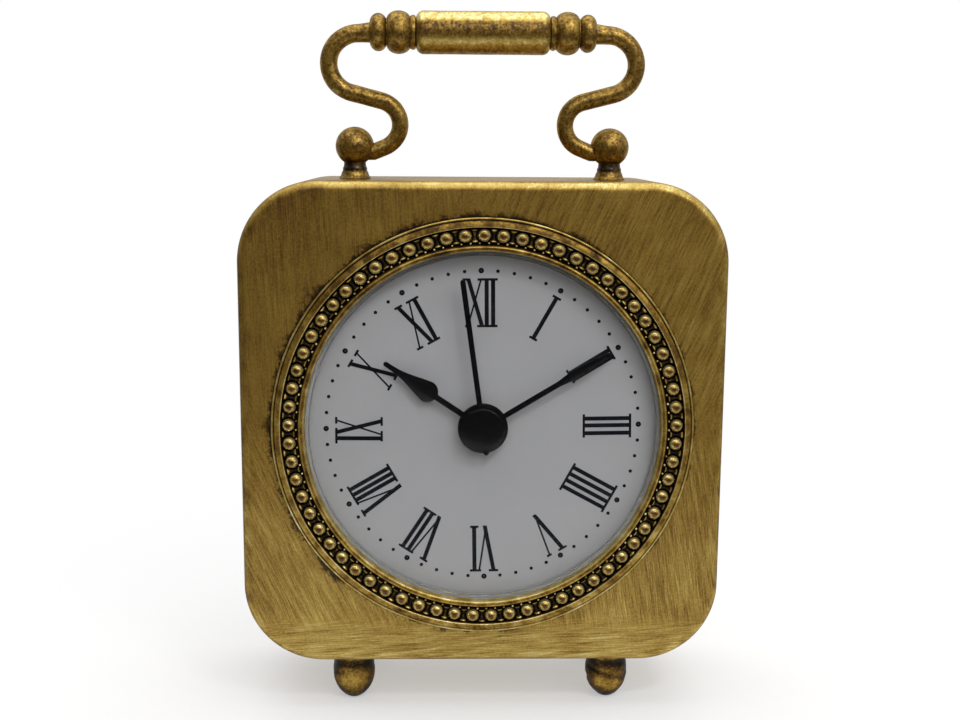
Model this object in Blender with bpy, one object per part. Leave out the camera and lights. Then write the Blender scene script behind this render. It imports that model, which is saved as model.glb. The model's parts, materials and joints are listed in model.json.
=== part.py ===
"""Table clock: a cast case on ball feet, with a beaded bezel, a carrying handle and a quartz movement.

Units are metres and +Z is up. The dial faces -Y. Every sub-part is built about the dial's centre on the plane
of the case's front: x to the right, y into the case, z up. The empty front_centre stands that plane in place.
"""
import math

import bmesh
import bpy
from mathutils import Matrix, Vector

MM = 0.001
FULL_TURN = 2 * math.pi

# Clearances, and the step that keeps the faces of fused shapes out of one plane
FIT = 0.3 * MM
RUN_GAP = 0.5 * MM
SEAM = 0.05 * MM

# Case: its front leaves these margins beside and above the bezel
CASE_SIDE_MARGIN = 7.0 * MM
CASE_TOP_MARGIN = 7.65 * MM
CASE_DEPTH = 40 * MM
CASE_WALL = 2.5 * MM
CASE_CORNER_RADIUS = 18 * MM
CASE_FRONT_ROUNDING = 2 * MM
CASE_REAR_ROUNDING = 0.8 * MM
CORNER_POST_RADIUS = 3.2 * MM
CORNER_POST_INSET = 12.5 * MM

# Bezel, measured outwards from its lens opening
LENS_OPENING_RADIUS = 39.7 * MM
INNER_RIM_WIDTH = 1.6 * MM
CHANNEL_WIDTH = 3.6 * MM
CHANNEL_DRAFT = 0.35 * MM
OUTER_BAND_WIDTH = 2.1 * MM
BAND_ROUNDING = 0.75 * MM
OUTER_RIDGE_WIDTH = 0.55 * MM
OUTER_RIDGE_PROUD = 1.1 * MM
OUTER_RIDGE_BEVEL = 0.25 * MM
OUTER_GROOVE_DEPTH = 0.2 * MM
BEZEL_PROUD = 2.0 * MM
BEZEL_LIP = 2.0 * MM
BEAD_COUNT = 65
BEAD_RADIUS = 1.5 * MM
BEAD_STEM_RADIUS = 1.4 * MM
BEAD_PROUD = 2.4 * MM
CHANNEL_FLOOR_DEPTH = 0.3 * MM

# Lens
LENS_THICKNESS = 0.9 * MM
LENS_CROWN_PROUD = 2.6 * MM
LENS_DOME_RISE = 0.9 * MM
LENS_SHOULDER_ROUNDING = 0.7 * MM
LENS_FLANGE_WIDTH = 1.5 * MM

# Dial and the plate behind it
DIAL_THICKNESS = 0.5 * MM
PLATE_THICKNESS = 1.0 * MM
PLATE_BOSS_RADIUS = 2.4 * MM
PLATE_ROOM = 0.7 * MM

# Hands: angles run clockwise from twelve
HOUR_ANGLE = math.radians(304.6)
MINUTE_ANGLE = math.radians(59.5)
SECOND_ANGLE = math.radians(352.7)
HAND_THICKNESS = 0.35 * MM
HAND_PITCH = 0.8 * MM
HOUR_LENGTH = 26.2 * MM
HOUR_ARM_WIDTH = 1.35 * MM
HOUR_BULB_CENTRE = 15.2 * MM
HOUR_BULB_RADIUS = 2.6 * MM
HOUR_TIP_WIDTH = 1.0 * MM
MINUTE_LENGTH = 32.6 * MM
MINUTE_ARM_WIDTH = 1.3 * MM
MINUTE_LOZENGE_WIDTH = 2.4 * MM
MINUTE_LOZENGE_CENTRE = 23 * MM
MINUTE_LOZENGE_START = 15 * MM
MINUTE_TIP_WIDTH = 0.4 * MM
SECOND_LENGTH = 33.7 * MM
SECOND_TAIL = 6.6 * MM
SECOND_WIDTH = 1.06 * MM
HUB_RADIUS = 5.6 * MM
CAP_RADIUS = 5.1 * MM
CAP_HEIGHT = 0.95 * MM
CAP_EDGE = 0.3 * MM
PIPE_PROUD = 0.15 * MM

# Handle
HANDLE_POST_SPACING = 58.6 * MM
BALL_RADIUS = 4.4 * MM
BALL_HEIGHT = 7.3 * MM
POST_NECK_RADIUS = 2.65 * MM
POST_FLANGE_RADIUS = 3.9 * MM
POST_FLANGE_THICKNESS = 0.6 * MM
HANDLE_RISE = 25.5 * MM
ARM_DROP = 0.6 * MM
ARM_END_RADIUS = 1.85 * MM
ARM_TOP_RADIUS = 2.05 * MM
LOWER_BEND_RADIUS = 5.5 * MM
LOWER_BEND_INSET = 4.9 * MM
UPPER_BEND_RADIUS = 6.7 * MM
UPPER_BEND_OVERHANG = 2.45 * MM
ARM_TENON = 1.55 * MM
GRIP_LENGTH = 30.5 * MM
GRIP_RADIUS = 4.95 * MM
GRIP_END_ROUNDING = 1.35 * MM
GRIP_NECK_RADIUS = 4.1 * MM
GRIP_NECK_LENGTH = 1.3 * MM
GRIP_NECK_SWELL = 0.3 * MM
LARGE_BEAD_LENGTH = 4.9 * MM
LARGE_BEAD_RADIUS = 4.95 * MM
BEAD_NECK_RADIUS = 3.5 * MM
BEAD_NECK_LENGTH = 0.8 * MM
SMALL_BEAD_LENGTH = 3.4 * MM
SMALL_BEAD_RADIUS = 4.15 * MM

# Feet
FOOT_HEIGHT = 11.7 * MM
FOOT_RADIUS = 4.9 * MM
FOOT_EQUATOR = 5.6 * MM
FOOT_WAIST_RADIUS = 4.5 * MM
FOOT_WAIST_DROP = 2.1 * MM
FOOT_COLLAR_HEIGHT = 0.6 * MM
FOOT_FLAT_RADIUS = 1.6 * MM
FOOT_SPACING = 59.6 * MM
FOOT_INSET = 9.0 * MM

# Screws
SCREW_RADIUS = 1.3 * MM
SCREW_HEAD_RADIUS = 2.6 * MM
SCREW_HEAD_HEIGHT = 1.5 * MM
SCREW_HEAD_TAPER = 0.4
SCREW_REACH = 5.5 * MM
PLATE_SCREW_RADIUS = 0.9 * MM
PLATE_SCREW_HEAD_RADIUS = 1.9 * MM
PLATE_SCREW_HEAD_HEIGHT = 1.1 * MM
PLATE_SCREW_REACH = 1.6 * MM

# Movement housing
MOVEMENT_WALL = 1.2 * MM
MOVEMENT_PLATE = 1.5 * MM
MOVEMENT_SPLIT = 7.4 * MM
MOVEMENT_CORNER_RADIUS = 2 * MM
MOVEMENT_BACK_GAP = 1.2 * MM
BOSS_WALL = 1.1 * MM
BOSS_SETBACK = 0.1 * MM
NUT_RADIUS = 5.5 * MM
NUT_THICKNESS = 0.9 * MM
BAY_WALL_THICKNESS = 1.0 * MM

# Battery, an ordinary AA cell
CELL_RADIUS = 7.15 * MM
CELL_LENGTH = 49.2 * MM
CELL_EDGE = 0.5 * MM
CELL_NUB_RADIUS = 2.7 * MM
CELL_NUB_LENGTH = 1.1 * MM
CELL_ROOM_BELOW = 0.75 * MM
CELL_ROOM_ABOVE = 1.15 * MM
CONTACT_PLAY = 0.95 * MM
CONTACT_THICKNESS = 0.4 * MM
CONTACT_WIDTH = 7 * MM
CONTACT_LEAD_WIDTH = 1.5 * MM
CONTACT_LEAD_SPACING = 2.0 * MM
CONTACT_LEAD_LAP = 2.0 * MM

# Gear train: a layer is a depth behind the movement's front face
ARBOR_RADIUS = 0.6 * MM
PIVOT_DEPTH = 0.8 * MM
BRIDGE_PIVOT_DEPTH = 0.6 * MM
SECOND_ARBOR_RADIUS = 0.7 * MM
PIPE_WALL = 0.6 * MM
WHEEL_THICKNESS = 0.9 * MM
PINION_OVERLAP = 0.15 * MM
TOOTH_ROOT = 1.15
TOOTH_TIP = 0.8
MOTION_DISTANCE = 10.4 * MM
MOTION_DIRECTION = math.radians(30)
TIME_DISTANCE = 10.2 * MM
TIME_DIRECTION = math.radians(150)
STEP_DISTANCE = 9.45 * MM
STEP_DIRECTION = math.radians(60)
ROTOR_DISTANCE = 7.2 * MM
ROTOR_DIRECTION = math.radians(100)
SETTING_DIRECTION = math.radians(0)
HOUR_WHEEL_TEETH = 32
MOTION_PINION_LEAVES = 8
MOTION_WHEEL_TEETH = 24
MINUTE_PINION_LEAVES = 8
SETTING_PINION_LEAVES = 8
CENTRE_WHEEL_TEETH = 48
THIRD_PINION_LEAVES = 6
THIRD_WHEEL_TEETH = 45
SECOND_PINION_LEAVES = 6
SECOND_WHEEL_TEETH = 36
STEP_PINION_LEAVES = 6
STEP_WHEEL_TEETH = 30
ROTOR_PINION_LEAVES = 6
HOUR_LAYER = 2.4 * MM
LAYER_GAP = 0.7 * MM
BRIDGE_THICKNESS = 1.0 * MM
BRIDGE_POST_RADIUS = 1.6 * MM
BRIDGE_POST_INSET = 2.2 * MM
ROTOR_MAGNET_RADIUS = 2.6 * MM
ROTOR_MAGNET_THICKNESS = 2.0 * MM

# Drive coil, stator and circuit board
STATOR_THICKNESS = 1.0 * MM
STATOR_GAP = 0.6 * MM
STATOR_RIM = 0.7 * MM
STATOR_SETBACK = 0.1 * MM
STATOR_LEFT = -8 * MM
STATOR_RIGHT = 9.2 * MM
STATOR_TOP = 24 * MM
COIL_RADIUS = 2.3 * MM
COIL_WINDING_RADIUS = 1.8 * MM
COIL_FLANGE = 0.8 * MM
COIL_LENGTH = 13 * MM
COIL_HEIGHT = 20 * MM
CORE_HALF_WIDTH = 1.0 * MM
CORE_END_LENGTH = 0.5 * MM
BOARD_WIDTH = 14 * MM
BOARD_HEIGHT = 13 * MM
BOARD_THICKNESS = 0.8 * MM
BOARD_X = 17.5 * MM
BOARD_Z = 17.5 * MM
CRYSTAL_RADIUS = 1.0 * MM
CRYSTAL_LENGTH = 6.0 * MM
PEG_RADIUS = 0.7 * MM
PEG_SEAT_RADIUS = 1.5 * MM
PEG_INSET = 2 * MM

# Rear cover, its battery door and the setting knob
COVER_RECESS = 4.0 * MM
COVER_THICKNESS = 1.5 * MM
HATCH_SIDE_ROOM = 0.7 * MM
HATCH_FINGER_ROOM = 2.35 * MM
WELL_WALL = 1.2 * MM
DOOR_BARREL_RADIUS = 1.0 * MM
DOOR_PIN_RADIUS = 0.6 * MM
DOOR_PIN_LENGTH = 1.6 * MM
DOOR_LATCH_WIDTH = 9 * MM
DOOR_LATCH_DEPTH = 2.2 * MM
DOOR_LATCH_THICKNESS = 1.2 * MM
DOOR_LATCH_DROP = 1.3 * MM
KNOB_RADIUS = 5.5 * MM
KNOB_LENGTH = 5.5 * MM
KNOB_FLUTES = 12
KNOB_FLUTE_DEPTH = 0.35 * MM
KNOB_SHAFT_RADIUS = 1.4 * MM

# Facets round each kind of turned piece
RING_STEPS = BEAD_COUNT
DISC_STEPS = 32
TURNED_STEPS = 16
HANDLE_STEPS = 14
POST_STEPS = 10
PIPE_STEPS = 10
SMALL_STEPS = 8
ARBOR_STEPS = 6
CORNER_STEPS = 5
BEAD_STEPS = 6

# Derived sizes and places
INNER_RIM_RADIUS = LENS_OPENING_RADIUS + INNER_RIM_WIDTH
CHANNEL_OUTER_RADIUS = INNER_RIM_RADIUS + CHANNEL_WIDTH
BEZEL_RADIUS = CHANNEL_OUTER_RADIUS + OUTER_BAND_WIDTH
SPIGOT_RADIUS = BEZEL_RADIUS - BEZEL_LIP
CASE_WIDTH = 2 * (BEZEL_RADIUS + CASE_SIDE_MARGIN)
CASE_HEIGHT = 2 * (BEZEL_RADIUS + CASE_TOP_MARGIN)
CASE_INSIDE = CASE_WIDTH / 2 - CASE_WALL
FRONT_Y = (LENS_CROWN_PROUD - (CASE_DEPTH - COVER_RECESS + FIT + KNOB_LENGTH)) / 2
CENTRE_Z = FOOT_HEIGHT + CASE_HEIGHT / 2
CASE_TOP = CASE_HEIGHT / 2
CASE_BOTTOM = -CASE_HEIGHT / 2
HANDLE_DEPTH = CASE_DEPTH / 2
PLATE_SCREW_CIRCLE = (SPIGOT_RADIUS + FIT + CASE_INSIDE) / 2
PLATE_RADIUS = CASE_INSIDE - PLATE_ROOM
DIAL_RADIUS = PLATE_SCREW_CIRCLE - PLATE_BOSS_RADIUS - RUN_GAP
DIAL_DEPTH = CASE_WALL + FIT
DIAL_BACK = DIAL_DEPTH + DIAL_THICKNESS
PLATE_FRONT = DIAL_BACK + FIT
PLATE_BACK = PLATE_FRONT + PLATE_THICKNESS
MOVEMENT_FRONT = PLATE_BACK + FIT
MOTION_LAYER = HOUR_LAYER + WHEEL_THICKNESS + LAYER_GAP
CENTRE_LAYER = MOTION_LAYER + WHEEL_THICKNESS + LAYER_GAP
THIRD_LAYER = CENTRE_LAYER + WHEEL_THICKNESS + LAYER_GAP
BRIDGE_LAYER = THIRD_LAYER + WHEEL_THICKNESS + LAYER_GAP
SECOND_LAYER = BRIDGE_LAYER + BRIDGE_THICKNESS + LAYER_GAP
STEP_LAYER = SECOND_LAYER + WHEEL_THICKNESS + LAYER_GAP
ROTOR_LAYER = STEP_LAYER + WHEEL_THICKNESS + LAYER_GAP
MOVEMENT_DEPTH = ROTOR_LAYER + ROTOR_MAGNET_THICKNESS + MOVEMENT_BACK_GAP + MOVEMENT_PLATE
MOVEMENT_BACK = MOVEMENT_FRONT + MOVEMENT_DEPTH
HOUSING_INNER = (CELL_LENGTH + CELL_NUB_LENGTH) / 2 + CONTACT_PLAY + CONTACT_THICKNESS + FIT
MOVEMENT_SIZE = 2 * (HOUSING_INNER + MOVEMENT_WALL)
CELL_HEIGHT = -HOUSING_INNER + CELL_ROOM_BELOW + CELL_RADIUS
BAY_WALL_HEIGHT = CELL_HEIGHT + CELL_RADIUS + CELL_ROOM_ABOVE
MINUTE_PIPE_BORE = SECOND_ARBOR_RADIUS + FIT
MINUTE_PIPE_RADIUS = MINUTE_PIPE_BORE + PIPE_WALL
HOUR_PIPE_BORE = MINUTE_PIPE_RADIUS + FIT
HOUR_PIPE_RADIUS = HOUR_PIPE_BORE + PIPE_WALL
BOSS_RADIUS = HOUR_PIPE_RADIUS + FIT + BOSS_WALL
COVER_BACK = CASE_DEPTH - COVER_RECESS
COVER_FRONT = COVER_BACK - COVER_THICKNESS
NUT_BACK = DIAL_DEPTH - FIT
HOUR_HAND_DEPTH = NUT_BACK - NUT_THICKNESS - HAND_THICKNESS - FIT
MINUTE_HAND_DEPTH = HOUR_HAND_DEPTH - HAND_PITCH
SECOND_HAND_DEPTH = MINUTE_HAND_DEPTH - HAND_PITCH

materials = {}


def polar(radius, angle):
    """A point in the dial's plane, with the angle taken from +X towards +Z."""
    return radius * math.cos(angle), radius * math.sin(angle)


def arc(centre_a, centre_b, radius, start, end, steps):
    """Points along an arc in any two coordinates, angles in degrees."""
    turns = [math.radians(start + (end - start) * i / steps) for i in range(steps + 1)]
    return [(centre_a + radius * math.cos(turn), centre_b + radius * math.sin(turn)) for turn in turns]


def rounded_rectangle(width, height, radius, steps):
    """Outline of a rectangle with round corners, centred on the origin, in order round it."""
    across = width / 2 - radius
    up = height / 2 - radius
    outline = []
    for side_x, side_z, start in ((1, 1, 0), (-1, 1, 90), (-1, -1, 180), (1, -1, 270)):
        outline += arc(side_x * across, side_z * up, radius, start, start + 90, steps)
    return outline


def prism(outline, front, back):
    """A closed prism: an outline in the dial's plane, drawn out from one depth to another."""
    shape = bmesh.new()
    corners = [shape.verts.new((x, front, z)) for x, z in outline]
    face = shape.faces.new(corners)
    grown = bmesh.ops.extrude_face_region(shape, geom=[face])
    ends = [item for item in grown["geom"] if isinstance(item, bmesh.types.BMVert)]
    bmesh.ops.translate(shape, verts=ends, vec=(0, back - front, 0))
    bmesh.ops.recalc_face_normals(shape, faces=shape.faces)
    return shape


def block(left, right, front, back, bottom, top):
    """A plain rectangular block between its six sides."""
    return prism([(left, bottom), (right, bottom), (right, top), (left, top)], front, back)


def turned(profile, steps, axis="Y"):
    """A body turned about an axis through the origin, from (radius, distance along the axis) points.

    A profile that starts and ends on the axis closes at its poles; any other profile is a closed ring.
    """
    shape = bmesh.new()
    ring = [shape.verts.new((radius, along, 0)) for radius, along in profile]
    pairs = list(zip(ring, ring[1:]))
    if profile[0][0] > 0:
        pairs.append((ring[-1], ring[0]))
    edges = [shape.edges.new(pair) for pair in pairs]
    bmesh.ops.spin(shape, geom=ring + edges, cent=(0, 0, 0), axis=(0, 1, 0), angle=FULL_TURN, steps=steps)
    bmesh.ops.remove_doubles(shape, verts=shape.verts, dist=MM / 10000)
    if axis == "X":
        bmesh.ops.rotate(shape, verts=shape.verts, matrix=Matrix.Rotation(-math.pi / 2, 3, "Z"))
    if axis == "Z":
        bmesh.ops.rotate(shape, verts=shape.verts, matrix=Matrix.Rotation(math.pi / 2, 3, "X"))
    bmesh.ops.recalc_face_normals(shape, faces=shape.faces)
    return shape


def rod(radius, start, end, steps=SMALL_STEPS, axis="Y"):
    """A plain cylinder on an axis through the origin."""
    return turned([(0, start), (radius, start), (radius, end), (0, end)], steps, axis)


def tube(outer, bore, start, end, steps=SMALL_STEPS, axis="Y"):
    """A cylinder with a hole through it."""
    return turned([(bore, start), (outer, start), (outer, end), (bore, end)], steps, axis)


def shifted(shape, x=0.0, y=0.0, z=0.0):
    """A shape moved as a whole."""
    bmesh.ops.translate(shape, verts=shape.verts, vec=(x, y, z))
    return shape


def together(shapes):
    """Several shapes that don't touch each other, as one mesh."""
    group = bmesh.new()
    for shape in shapes:
        mesh = bpy.data.meshes.new("member")
        shape.to_mesh(mesh)
        shape.free()
        group.from_mesh(mesh)
        bpy.data.meshes.remove(mesh)
    return group


def copies(make, places):
    """One shape made for each (x, z) place, moved there, all as one mesh."""
    return together([shifted(make(), x, 0, z) for x, z in places])


def stepped_post(first, second, shoulder, start, end, steps=SMALL_STEPS):
    """A round post that changes from its first radius to its second at a shoulder."""
    step = [(first, start), (first, shoulder), (second, shoulder), (second, end)]
    return turned([(0, start), *step, (0, end)], steps)


def tooth_ring(teeth, module, phase, front, back):
    """A toothed disc: each tooth runs to a point from a straight flank each side, and meshes with play."""
    pitch_radius = teeth * module / 2
    root = pitch_radius - TOOTH_ROOT * module
    tip = pitch_radius + TOOTH_TIP * module
    spacing = FULL_TURN / teeth
    outline = []
    for number in range(teeth):
        middle = phase + number * spacing
        for radius, share in ((root, -0.25), (tip, 0), (root, 0.25)):
            outline.append(polar(radius, middle + share * spacing))
    return prism(outline, front, back)


def mating_phase(teeth, phase, mate_teeth, direction):
    """The phase that puts a mate's gap on a wheel's tooth, the mate lying in the given direction."""
    offset = (phase - direction) * teeth / mate_teeth
    return direction + math.pi - offset + math.pi / mate_teeth


def paint(name, colour, roughness, metallic, transmission=0.0):
    """A material of its own for each finish."""
    if name not in materials:
        finish = bpy.data.materials.new(name)
        finish.use_nodes = True
        shader = finish.node_tree.nodes["Principled BSDF"]
        shader.inputs["Base Color"].default_value = (*colour, 1)
        shader.inputs["Roughness"].default_value = roughness
        shader.inputs["Metallic"].default_value = metallic
        shader.inputs["Transmission Weight"].default_value = transmission
        materials[name] = finish
    return materials[name]


def antique_brass():
    return paint("antique_brass", (0.30, 0.21, 0.07), 0.45, 0.9)


def black_lacquer():
    return paint("black_lacquer", (0.015, 0.015, 0.016), 0.3, 0.0)


def white_plastic():
    return paint("white_plastic", (0.82, 0.81, 0.77), 0.4, 0.0)


def black_plastic():
    return paint("black_plastic", (0.03, 0.03, 0.032), 0.55, 0.0)


def bright_steel():
    return paint("bright_steel", (0.62, 0.62, 0.64), 0.25, 1.0)


def turned_brass():
    return paint("turned_brass", (0.75, 0.56, 0.22), 0.3, 1.0)


def object_from(name, shape, finish):
    """An object at the origin that holds a shape."""
    mesh = bpy.data.meshes.new(name)
    shape.to_mesh(mesh)
    shape.free()
    mesh.materials.append(finish)
    body = bpy.data.objects.new(name, mesh)
    bpy.context.scene.collection.objects.link(body)
    return body


def combine(body, shape, operation):
    """Adds a shape to a body, or cuts it away, and keeps the resulting mesh."""
    tool = object_from("tool", shape, body.data.materials[0])
    change = body.modifiers.new("change", "BOOLEAN")
    change.operation = operation
    change.solver = "EXACT"
    change.object = tool
    result = bpy.data.meshes.new_from_object(body.evaluated_get(bpy.context.evaluated_depsgraph_get()))
    body.modifiers.remove(change)
    spent = body.data
    body.data = result
    bpy.data.meshes.remove(spent)
    spent = tool.data
    bpy.data.objects.remove(tool)
    bpy.data.meshes.remove(spent)
    return body


def fuse(body, *shapes):
    for shape in shapes:
        combine(body, shape, "UNION")
    return body


def cut(body, *shapes):
    for shape in shapes:
        combine(body, shape, "DIFFERENCE")
    return body


def place(body, x=0.0, z=0.0, y=0.0, clockwise=0.0, sharp=35):
    """Stands a finished body in the clock, its origin on its own axis."""
    body.data.name = body.name
    body.data.shade_smooth()
    body.data.set_sharp_from_angle(angle=math.radians(sharp))
    body.parent = front_centre
    body.location = (x, y, z)
    body.rotation_euler = (0, clockwise, 0)
    return body


def four_corners(x, z):
    """Names and places of four things set symmetrically."""
    return (("upper_left", -x, z), ("upper_right", x, z), ("lower_left", -x, -z), ("lower_right", x, -z))


def screw_profile(radius, head_radius, head_height, length):
    """Profile of a pan-head screw: its head sits from 0 backwards, its shank runs to minus its length."""
    edge = head_height * SCREW_HEAD_TAPER
    return [
        (0, -length), (radius, -length), (radius, 0), (head_radius, 0), (head_radius - edge, head_height),
        (0, head_height),
    ]


# Case

POST_X = CASE_WIDTH / 2 - CORNER_POST_INSET
POST_Z = CASE_HEIGHT / 2 - CORNER_POST_INSET
PLATE_SCREWS = [polar(PLATE_SCREW_CIRCLE, number * FULL_TURN / 4) for number in range(4)]
FOOT_DEPTHS = (("front", FOOT_INSET), ("rear", CASE_DEPTH - FOOT_INSET))


def rounded_block(width, height, radius, front, back, front_rounding, rear_rounding, steps):
    """A rounded-square block whose front and rear edges are rounded, as stacked outlines bridged together."""
    shape = bmesh.new()
    layers = [(front + front_rounding - along, inset) for inset, along in quarter(front_rounding, 3)]
    layers += [(back - rear_rounding + along, inset) for inset, along in reversed(quarter(rear_rounding, 1))]
    rings = []
    for depth, inset in layers:
        outline = rounded_rectangle(width - 2 * inset, height - 2 * inset, radius - inset, steps)
        corners = [shape.verts.new((x, depth, z)) for x, z in outline]
        rings.append([shape.edges.new((a, b)) for a, b in zip(corners, corners[1:] + corners[:1])])
    for near, far in zip(rings, rings[1:]):
        bmesh.ops.bridge_loops(shape, edges=near + far)
    for ring in (rings[0], rings[-1]):
        bmesh.ops.contextual_create(shape, geom=ring)
    bmesh.ops.recalc_face_normals(shape, faces=shape.faces)
    return shape


def quarter(radius, steps):
    """(inset, distance) pairs along a rounded edge, from its face to its side."""
    turns = [math.pi / 2 * i / steps for i in range(steps + 1)]
    return [(radius * (1 - math.sin(turn)), radius * math.cos(turn)) for turn in turns]


def make_case():
    case = object_from("case_shell", rounded_block(
        CASE_WIDTH, CASE_HEIGHT, CASE_CORNER_RADIUS, 0, CASE_DEPTH,
        CASE_FRONT_ROUNDING, CASE_REAR_ROUNDING, CORNER_STEPS,
    ), antique_brass())
    inside = rounded_rectangle(
        CASE_WIDTH - 2 * CASE_WALL, CASE_HEIGHT - 2 * CASE_WALL, CASE_CORNER_RADIUS - CASE_WALL, CORNER_STEPS)
    cut(case, prism(inside, CASE_WALL, CASE_DEPTH + CASE_WALL))
    cut(case, rod(SPIGOT_RADIUS + FIT, -CASE_WALL, 2 * CASE_WALL, RING_STEPS))
    posts = [(x, z) for _, x, z in four_corners(POST_X, POST_Z)]
    fuse(case, together([
        copies(lambda: rod(CORNER_POST_RADIUS, CASE_WALL / 2, COVER_FRONT - FIT), posts),
        copies(lambda: rod(PLATE_BOSS_RADIUS, CASE_WALL / 2, PLATE_FRONT - FIT, ARBOR_STEPS), PLATE_SCREWS),
    ]))
    bore_end = PLATE_FRONT - PLATE_SCREW_REACH - FIT
    holes = [
        copies(lambda: rod(SCREW_RADIUS + FIT, COVER_FRONT - SCREW_REACH - FIT, COVER_BACK), posts),
        copies(lambda: rod(PLATE_SCREW_RADIUS + FIT, bore_end, PLATE_BACK, ARBOR_STEPS), PLATE_SCREWS),
    ]
    for side in (-1, 1):
        hole = rod(SCREW_RADIUS + FIT, -2 * CASE_WALL, 2 * CASE_WALL, ARBOR_STEPS, "Z")
        holes.append(shifted(hole, side * HANDLE_POST_SPACING / 2, HANDLE_DEPTH, CASE_TOP))
        for _, depth in FOOT_DEPTHS:
            hole = rod(SCREW_RADIUS + FIT, -2 * CASE_WALL, 2 * CASE_WALL, ARBOR_STEPS, "Z")
            holes.append(shifted(hole, side * FOOT_SPACING / 2, depth, CASE_BOTTOM))
    cut(case, together(holes))
    place(case)


# Bezel, with its ring of beads

BEAD_CIRCLE = (INNER_RIM_RADIUS + CHANNEL_OUTER_RADIUS) / 2
LENS_FLANGE_RADIUS = LENS_OPENING_RADIUS + LENS_FLANGE_WIDTH
LENS_SEAT_DEPTH = DIAL_DEPTH - 2 * FIT - LENS_THICKNESS


def bezel_profile():
    """Section of the bezel: outer ridge, groove, convex band, bead channel, inner rim, lens seat, spigot."""
    band = CHANNEL_OUTER_RADIUS
    ridge = OUTER_RIDGE_PROUD
    bevel = OUTER_RIDGE_BEVEL
    floor = CHANNEL_FLOOR_DEPTH
    section = [(BEZEL_RADIUS, -FIT), (BEZEL_RADIUS, bevel - ridge), (BEZEL_RADIUS - bevel, -ridge)]
    section += [(BEZEL_RADIUS - OUTER_RIDGE_WIDTH, OUTER_GROOVE_DEPTH - ridge)]
    section += arc(band + BAND_ROUNDING, BAND_ROUNDING - BEZEL_PROUD, BAND_ROUNDING, -30, -150, 2)
    section += [(band - CHANNEL_DRAFT, floor), (INNER_RIM_RADIUS + CHANNEL_DRAFT, floor)]
    middle = (LENS_OPENING_RADIUS + INNER_RIM_RADIUS) / 2
    half = INNER_RIM_WIDTH / 2
    section += arc(middle, half - BEZEL_PROUD, half, -10, -170, 2)
    section += [(LENS_OPENING_RADIUS, LENS_SEAT_DEPTH), (LENS_FLANGE_RADIUS + FIT, LENS_SEAT_DEPTH)]
    section += [(LENS_FLANGE_RADIUS + FIT, CASE_WALL), (SPIGOT_RADIUS, CASE_WALL), (SPIGOT_RADIUS, -FIT)]
    return section


def bead_ring():
    """All beads as one mesh of separate bodies: round caps on short stems, spaced evenly, one at the top."""
    cap = [(0, -BEAD_PROUD)]
    for turn in (40, 80):
        angle = math.radians(turn)
        cap.append((BEAD_RADIUS * math.sin(angle), BEAD_RADIUS * (1 - math.cos(angle)) - BEAD_PROUD))
    root = CHANNEL_FLOOR_DEPTH + FIT
    places = [polar(BEAD_CIRCLE, FULL_TURN * (0.25 + number / BEAD_COUNT)) for number in range(BEAD_COUNT)]
    return copies(lambda: turned(cap + [(BEAD_STEM_RADIUS, root), (0, root)], BEAD_STEPS), places)


def make_bezel():
    ring = turned(bezel_profile(), RING_STEPS)
    half_step = FULL_TURN / 4 + FULL_TURN / RING_STEPS / 2
    bmesh.ops.rotate(ring, verts=ring.verts, matrix=Matrix.Rotation(-half_step, 3, "Y"))
    bezel = object_from("bezel_ring", ring, antique_brass())
    fuse(bezel, bead_ring())
    place(bezel)


# Lens, dial and dial plate

def make_lens():
    """A clear cup: a flange behind the bezel, a short wall inside it, a rounded shoulder and a low dome."""
    wall = LENS_OPENING_RADIUS - FIT
    inner = wall - LENS_THICKNESS
    shoulder = -LENS_CROWN_PROUD + LENS_DOME_RISE
    rounding = LENS_SHOULDER_ROUNDING
    flange_back = DIAL_DEPTH - FIT
    steps = 2
    outer = [(0, -LENS_CROWN_PROUD)]
    for i in range(1, steps + 1):
        radius = (wall - rounding) * i / steps
        outer.append((radius, -LENS_CROWN_PROUD + LENS_DOME_RISE * (i / steps) ** 2))
    outer += arc(wall - rounding, shoulder + rounding, rounding, -45, 0, 1)
    outer += [(wall, flange_back - LENS_THICKNESS), (LENS_FLANGE_RADIUS, flange_back - LENS_THICKNESS)]
    outer += [(LENS_FLANGE_RADIUS, flange_back), (inner, flange_back), (inner, shoulder + rounding)]
    for i in range(steps - 1, 0, -1):
        radius = (wall - rounding) * i / steps
        outer.append((radius, LENS_THICKNESS - LENS_CROWN_PROUD + LENS_DOME_RISE * (i / steps) ** 2))
    outer.append((0, LENS_THICKNESS - LENS_CROWN_PROUD))
    clear = paint("clear_acrylic", (0.95, 0.96, 0.96), 0.05, 0.0, 1.0)
    place(object_from("lens", turned(outer, DISC_STEPS), clear))


def make_dial():
    dial = object_from("dial", tube(
        DIAL_RADIUS, BOSS_RADIUS + FIT, DIAL_DEPTH, DIAL_BACK, DISC_STEPS,
    ), paint("dial_white", (0.80, 0.81, 0.82), 0.6, 0.0))
    place(dial)


def make_dial_plate():
    plate = object_from("dial_plate", tube(
        PLATE_RADIUS, BOSS_RADIUS + FIT, PLATE_FRONT, PLATE_BACK, DISC_STEPS,
    ), bright_steel())
    cut(plate, copies(lambda: rod(PLATE_SCREW_RADIUS + FIT, 0, MOVEMENT_FRONT, ARBOR_STEPS), PLATE_SCREWS))
    place(plate)
    length = PLATE_THICKNESS + FIT + PLATE_SCREW_REACH
    for name, (x, z) in zip(("right", "top", "left", "bottom"), PLATE_SCREWS):
        profile = screw_profile(PLATE_SCREW_RADIUS, PLATE_SCREW_HEAD_RADIUS, PLATE_SCREW_HEAD_HEIGHT, length)
        screw = object_from("plate_screw_" + name, turned(profile, ARBOR_STEPS), bright_steel())
        place(screw, x, z, PLATE_BACK + FIT)


# Hands

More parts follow.
